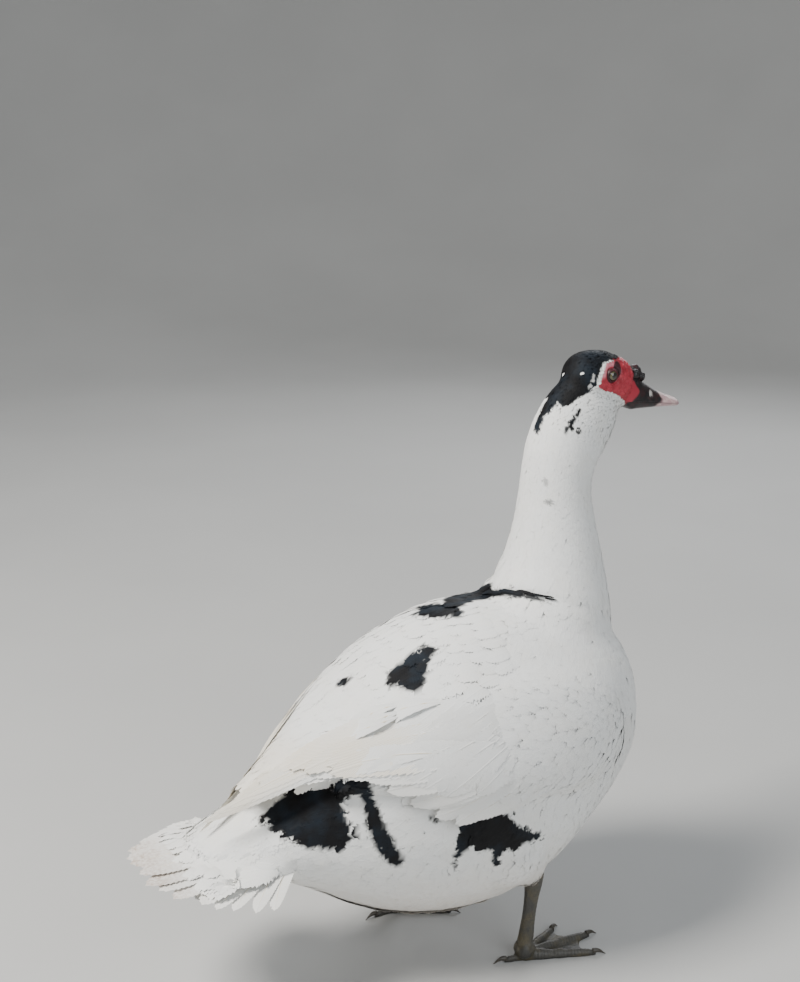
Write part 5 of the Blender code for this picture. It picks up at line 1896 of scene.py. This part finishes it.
def buildLid(side):
    # the bead along the edge of the lids, lying on the eyeball
    a, b = skinSet["lidOpening"]
    turn = math.radians(skinSet["lidTurn"])
    around, ring = 90, 12
    t = 2 * math.pi * np.arange(around) / around
    lx, lz = a * 1.03 * np.cos(t), b * 1.03 * np.sin(t)
    dx = lx * math.cos(turn) - lz * math.sin(turn)
    dz = lx * math.sin(turn) + lz * math.cos(turn)
    ball = head["eyeRadius"] + 0.00022
    depth = np.sqrt(ball ** 2 - dx ** 2 - dz ** 2)
    offset = np.stack([dx, depth * side, dz], 1)
    centre = offset + np.array((head["eye"][0], head["eye"][1] * side, head["eye"][2]))
    outward = unit(offset)
    along = np.roll(centre, -1, 0) - np.roll(centre, 1, 0)
    along = unit(along)
    sideways = np.cross(outward, along)
    k = 2 * math.pi * np.arange(ring) / ring
    size = eye["lidRadius"] * (1 + 0.25 * np.sin(t * 17) * 0.3 + 0.25 * np.sin(t))
    rings = (
        centre[:, None] + (size[:, None] * np.cos(k)[None])[..., None] * outward[:, None]
        + (1.25 * size[:, None] * np.sin(k)[None])[..., None] * sideways[:, None]
    )
    rings = np.concatenate([rings, rings[:1]])
    word = "Right" if side < 0 else "Left"
    made = placeHead(loftRings("lid" + word, rings, False, False))
    work = bmesh.new()
    work.from_mesh(made.data)
    bmesh.ops.remove_doubles(work, verts=work.verts, dist=1e-6)
    bmesh.ops.recalc_face_normals(work, faces=work.faces)
    work.to_mesh(made.data)
    work.free()
    made.data.shade_smooth()
    count = len(made.data.vertices)
    # the lid bead takes most of the painted shade round the eye
    for key, value in (("bare", 1.0), ("dark", 0.0), ("rim", 0.05), ("eyeHollowShade", 0.80)):
        setValues(made, key, np.full(count, value))
    return made


eyeFinish = eyeMaterial()
for side, where in ((-1, "right"), (1, "left")):
    finishPiece(buildEye(side), eyeFinish, ["eye_" + where])
    finishPiece(buildLid(side), skin.data.materials[0])
tell("head")

# legs: scaled skin over shank, toes and webs, then claws
legs = {
    "right": {"side": -1, "foot": (-0.008, -0.0540, 0.0), "heading": 4.0},
    "left": {"side": 1, "foot": (-0.067, 0.0540, 0.0), "heading": -4.0},
}
# each toe's bearing in degrees, its length and half its width
toes = {
    "inner": (-26.0, 0.048, 0.0042), "middle": (0.0, 0.062, 0.0046), "outer": (25.0, 0.056, 0.0042),
    "hind": (-168.0, 0.0165, 0.0032),
}
clawSet = {"radius": 0.0025, "reach": 0.0104, "sunk": 0.0022, "arch": 0.0014}
footSet = {"voxel": 0.00085, "relax": 3, "plate": 0.0026, "plateHeight": 0.00048, "shankPlate": 0.0034}


def toeWay(leg, toe):
    turned = math.radians(leg["heading"] + leg["side"] * toes[toe][0])
    return np.array((math.cos(turned), math.sin(turned), 0.0))


def buildLeg(where):
    leg = legs[where]
    made = remeshed(
        "leg" + where.capitalize(), [nodes["foot_" + where], nodes["shank_" + where]],
        footSet["voxel"], footSet["relax"],
    )
    points = pointsOf(made)
    normals = normalsOf(made)
    joint = np.array(leg["foot"]) + np.array((bodyShift, 0, 0))
    off = points - joint
    plate = np.zeros(len(points))
    web = np.ones(len(points))
    for toe, (_, length, half) in toes.items():
        way = toeWay(leg, toe)
        along = off @ way
        aside = np.abs(off @ np.array((-way[1], way[0], 0.0)))
        on = smoothStep(half * 1.35, half * 0.9, aside) * (along > -0.002) * (along < length + 0.004)
        web = np.minimum(web, 1 - on)
        ridge = np.abs(np.sin(math.pi * along / footSet["plate"])) ** 0.55
        plate = np.maximum(plate, on * ridge)
    top = smoothStep(0.0012, 0.0030, points[:, 2]) * smoothStep(0.0, 0.5, normals[:, 2] + 0.25)
    plate = plate * top * smoothStep(0.020, 0.012, points[:, 2])
    high = smoothStep(0.012, 0.018, points[:, 2])
    front = smoothStep(-0.2, 0.5, normals[:, 0])
    rings = np.abs(np.sin(math.pi * points[:, 2] / footSet["shankPlate"])) ** 0.5
    plate = plate + high * front * rings
    # fine creases in the webs between the toes, running with them
    crease = web * (points[:, 2] < 0.0045) * (np.hypot(off[:, 0], off[:, 1]) > 0.012)
    bearing = np.arctan2(off[:, 1], off[:, 0])
    furrow = 0.00022 * np.sin(bearing * 52) * crease * (normals[:, 2] > 0.3)
    points = points + normals * (plate * footSet["plateHeight"] + furrow)[:, None]
    points[:, 2] = np.where(points[:, 2] < 0.0007, 0.0, points[:, 2])
    movePoints(made, points)
    setValues(made, "plate", np.clip(plate, 0, 1))
    return made


def legMaterial():
    material, tree, shader = newMaterial("legFinish")
    look = {"grey": (0.058, 0.056, 0.050), "dark": (0.018, 0.017, 0.016), "yellow": (0.105, 0.088, 0.050)}
    pebbles = placeGroup(tree, pebbleGroup, Size=760.0)
    patchy = placeGroup(tree, mottleGroup, Size=85.0, Low=0.42, High=0.66)
    colour = colourMix(tree, patchy.outputs["Mask"], look["grey"], look["yellow"])
    colour = colourMix(tree, times(tree, pebbles.outputs["Crease"], 0.7), colour, look["dark"])
    plate = attributeValue(tree, "plate")
    colour = colourMix(tree, times(tree, plate, 0.40), colour, (0.120, 0.112, 0.094))
    link(tree, colour, shader.inputs["Base Color"])
    link(tree, mathNode(tree, "MULTIPLY_ADD", pebbles.outputs["Crease"], 0.2, 0.42), shader.inputs["Roughness"])
    addBump(tree, shader, pebbles.outputs["Height"], 0.6, 0.0003)
    return material


def buildClaw(where, toe):
    leg = legs[where]
    way = toeWay(leg, toe)
    sideways = np.array((-way[1], way[0], 0.0))
    root = np.array(leg["foot"]) + np.array((bodyShift, 0, 0)) + way * (toes[toe][1] - clawSet["sunk"])
    steps, around = 16, 20
    t = np.linspace(0, 1, steps)[:, None]
    k = 2 * math.pi * np.arange(around)[None] / around
    radius = clawSet["radius"] * (1 - t ** 1.3 * 0.90)
    reach = clawSet["reach"] * t
    lift = radius * 1.02 + clawSet["arch"] * np.sin(math.pi * np.clip(t * 1.1, 0, 1))
    rings = (
        root + (reach + 0 * k)[..., None] * way + (radius * 0.80 * np.cos(k))[..., None] * sideways
        + (lift + radius * np.sin(k) * (1.0 - 0.2 * (np.sin(k) < 0)))[..., None] * np.array((0, 0, 1.0))
    )
    rings[..., 2] = np.maximum(rings[..., 2], 0.0)
    return loftRings("claw" + where.capitalize() + toe.capitalize(), rings)


def clawMaterial():
    material, tree, shader = newMaterial("clawFinish")
    place = addNode(tree, "ShaderNodeTexCoord")
    noise = addNode(tree, "ShaderNodeTexNoise")
    noise.inputs["Scale"].default_value = 700.0
    link(tree, place.outputs["Object"], noise.inputs["Vector"])
    colour = colourMix(tree, noise.outputs["Fac"], (0.020, 0.018, 0.016), (0.10, 0.085, 0.065))
    link(tree, colour, shader.inputs["Base Color"])
    shader.inputs["Roughness"].default_value = 0.36
    addBump(tree, shader, noise.outputs["Fac"], 0.3, 0.0001)
    return material


legFinish, clawFinish = legMaterial(), clawMaterial()
for where in legs:
    finishPiece(buildLeg(where), legFinish, ["foot_" + where, "shank_" + where])
    for toe in toes:
        finishPiece(buildClaw(where, toe), clawFinish, ["claw_" + toe + "_" + where])
tell("legs")

# camera, light and floor
stage = {
    "cameraAt": (-0.5021, -0.9541, 0.660), "pitch": 74.726, "turn": -27.0, "lens": 57.19,
    "floorColour": (0.50, 0.50, 0.49), "flat": 2.3, "curve": 1.9, "wall": 3.2,
    "world": (0.86, 0.90, 0.95), "worldPower": 0.42,
    # name, place, size, watts, colour
    "lights": (
        ("keyLight", (-1.25, -0.05, 1.80), 0.7, 72.0, (1.0, 0.97, 0.92)),
        ("fillLight", (0.20, -2.00, 1.10), 1.5, 20.0, (0.90, 0.95, 1.0)),
        ("backLight", (1.30, 1.30, 1.20), 1.2, 14.0, (0.95, 0.97, 1.0)),
    ),
}


def bowlRings():
    # flat in the middle, then curving up into a round wall, with no corner for a horizon to show at
    bend = np.linspace(0, math.pi / 2, 26)
    edge = stage["flat"] + stage["curve"] * np.sin(bend)
    radius = np.concatenate([[0.02, 0.3, 0.8, 1.4], edge, [stage["flat"] + stage["curve"]]])
    height = np.concatenate([[0, 0, 0, 0], stage["curve"] * (1 - np.cos(bend)), [stage["wall"]]])
    turn = 2 * math.pi * np.arange(96) / 96
    return np.stack([
        radius[:, None] * np.cos(turn)[None], radius[:, None] * np.sin(turn)[None],
        np.broadcast_to(height[:, None], (len(height), 96)),
    ], 2)


def buildStage():
    data = bpy.data.cameras.new("viewCamera")
    data.lens = stage["lens"]
    data.sensor_width = 36.0
    data.clip_start = 0.01
    camera = bpy.data.objects.new("viewCamera", data)
    camera.location = stage["cameraAt"]
    camera.rotation_euler = (math.radians(stage["pitch"]), 0.0, math.radians(stage["turn"]))
    bpy.context.scene.collection.objects.link(camera)
    bpy.context.scene.camera = camera
    floor = loftRings("floor", bowlRings(), True, False)
    material, tree, shader = newMaterial("floorFinish")
    cloud = placeGroup(tree, mottleGroup, Size=3.0, Low=0.2, High=0.8)
    darker = tuple(c * 0.94 for c in stage["floorColour"])
    link(tree, colourMix(tree, cloud.outputs["Mask"], stage["floorColour"], darker), shader.inputs["Base Color"])
    shader.inputs["Roughness"].default_value = 0.85
    floor.data.materials.append(material)
    for name, at, size, power, colour in stage["lights"]:
        lamp = bpy.data.lights.new(name, "AREA")
        lamp.size = size
        lamp.energy = power
        lamp.color = colour
        made = bpy.data.objects.new(name, lamp)
        made.location = at
        aim = Vector((0.0, 0.0, 0.22)) - Vector(at)
        made.rotation_euler = aim.to_track_quat("-Z", "Y").to_euler()
        bpy.context.scene.collection.objects.link(made)
    world = bpy.data.worlds.new("room")
    world.use_nodes = True
    world.node_tree.nodes["Background"].inputs["Color"].default_value = (*stage["world"], 1.0)
    world.node_tree.nodes["Background"].inputs["Strength"].default_value = stage["worldPower"]
    bpy.context.scene.world = world


buildStage()
tell("stage")
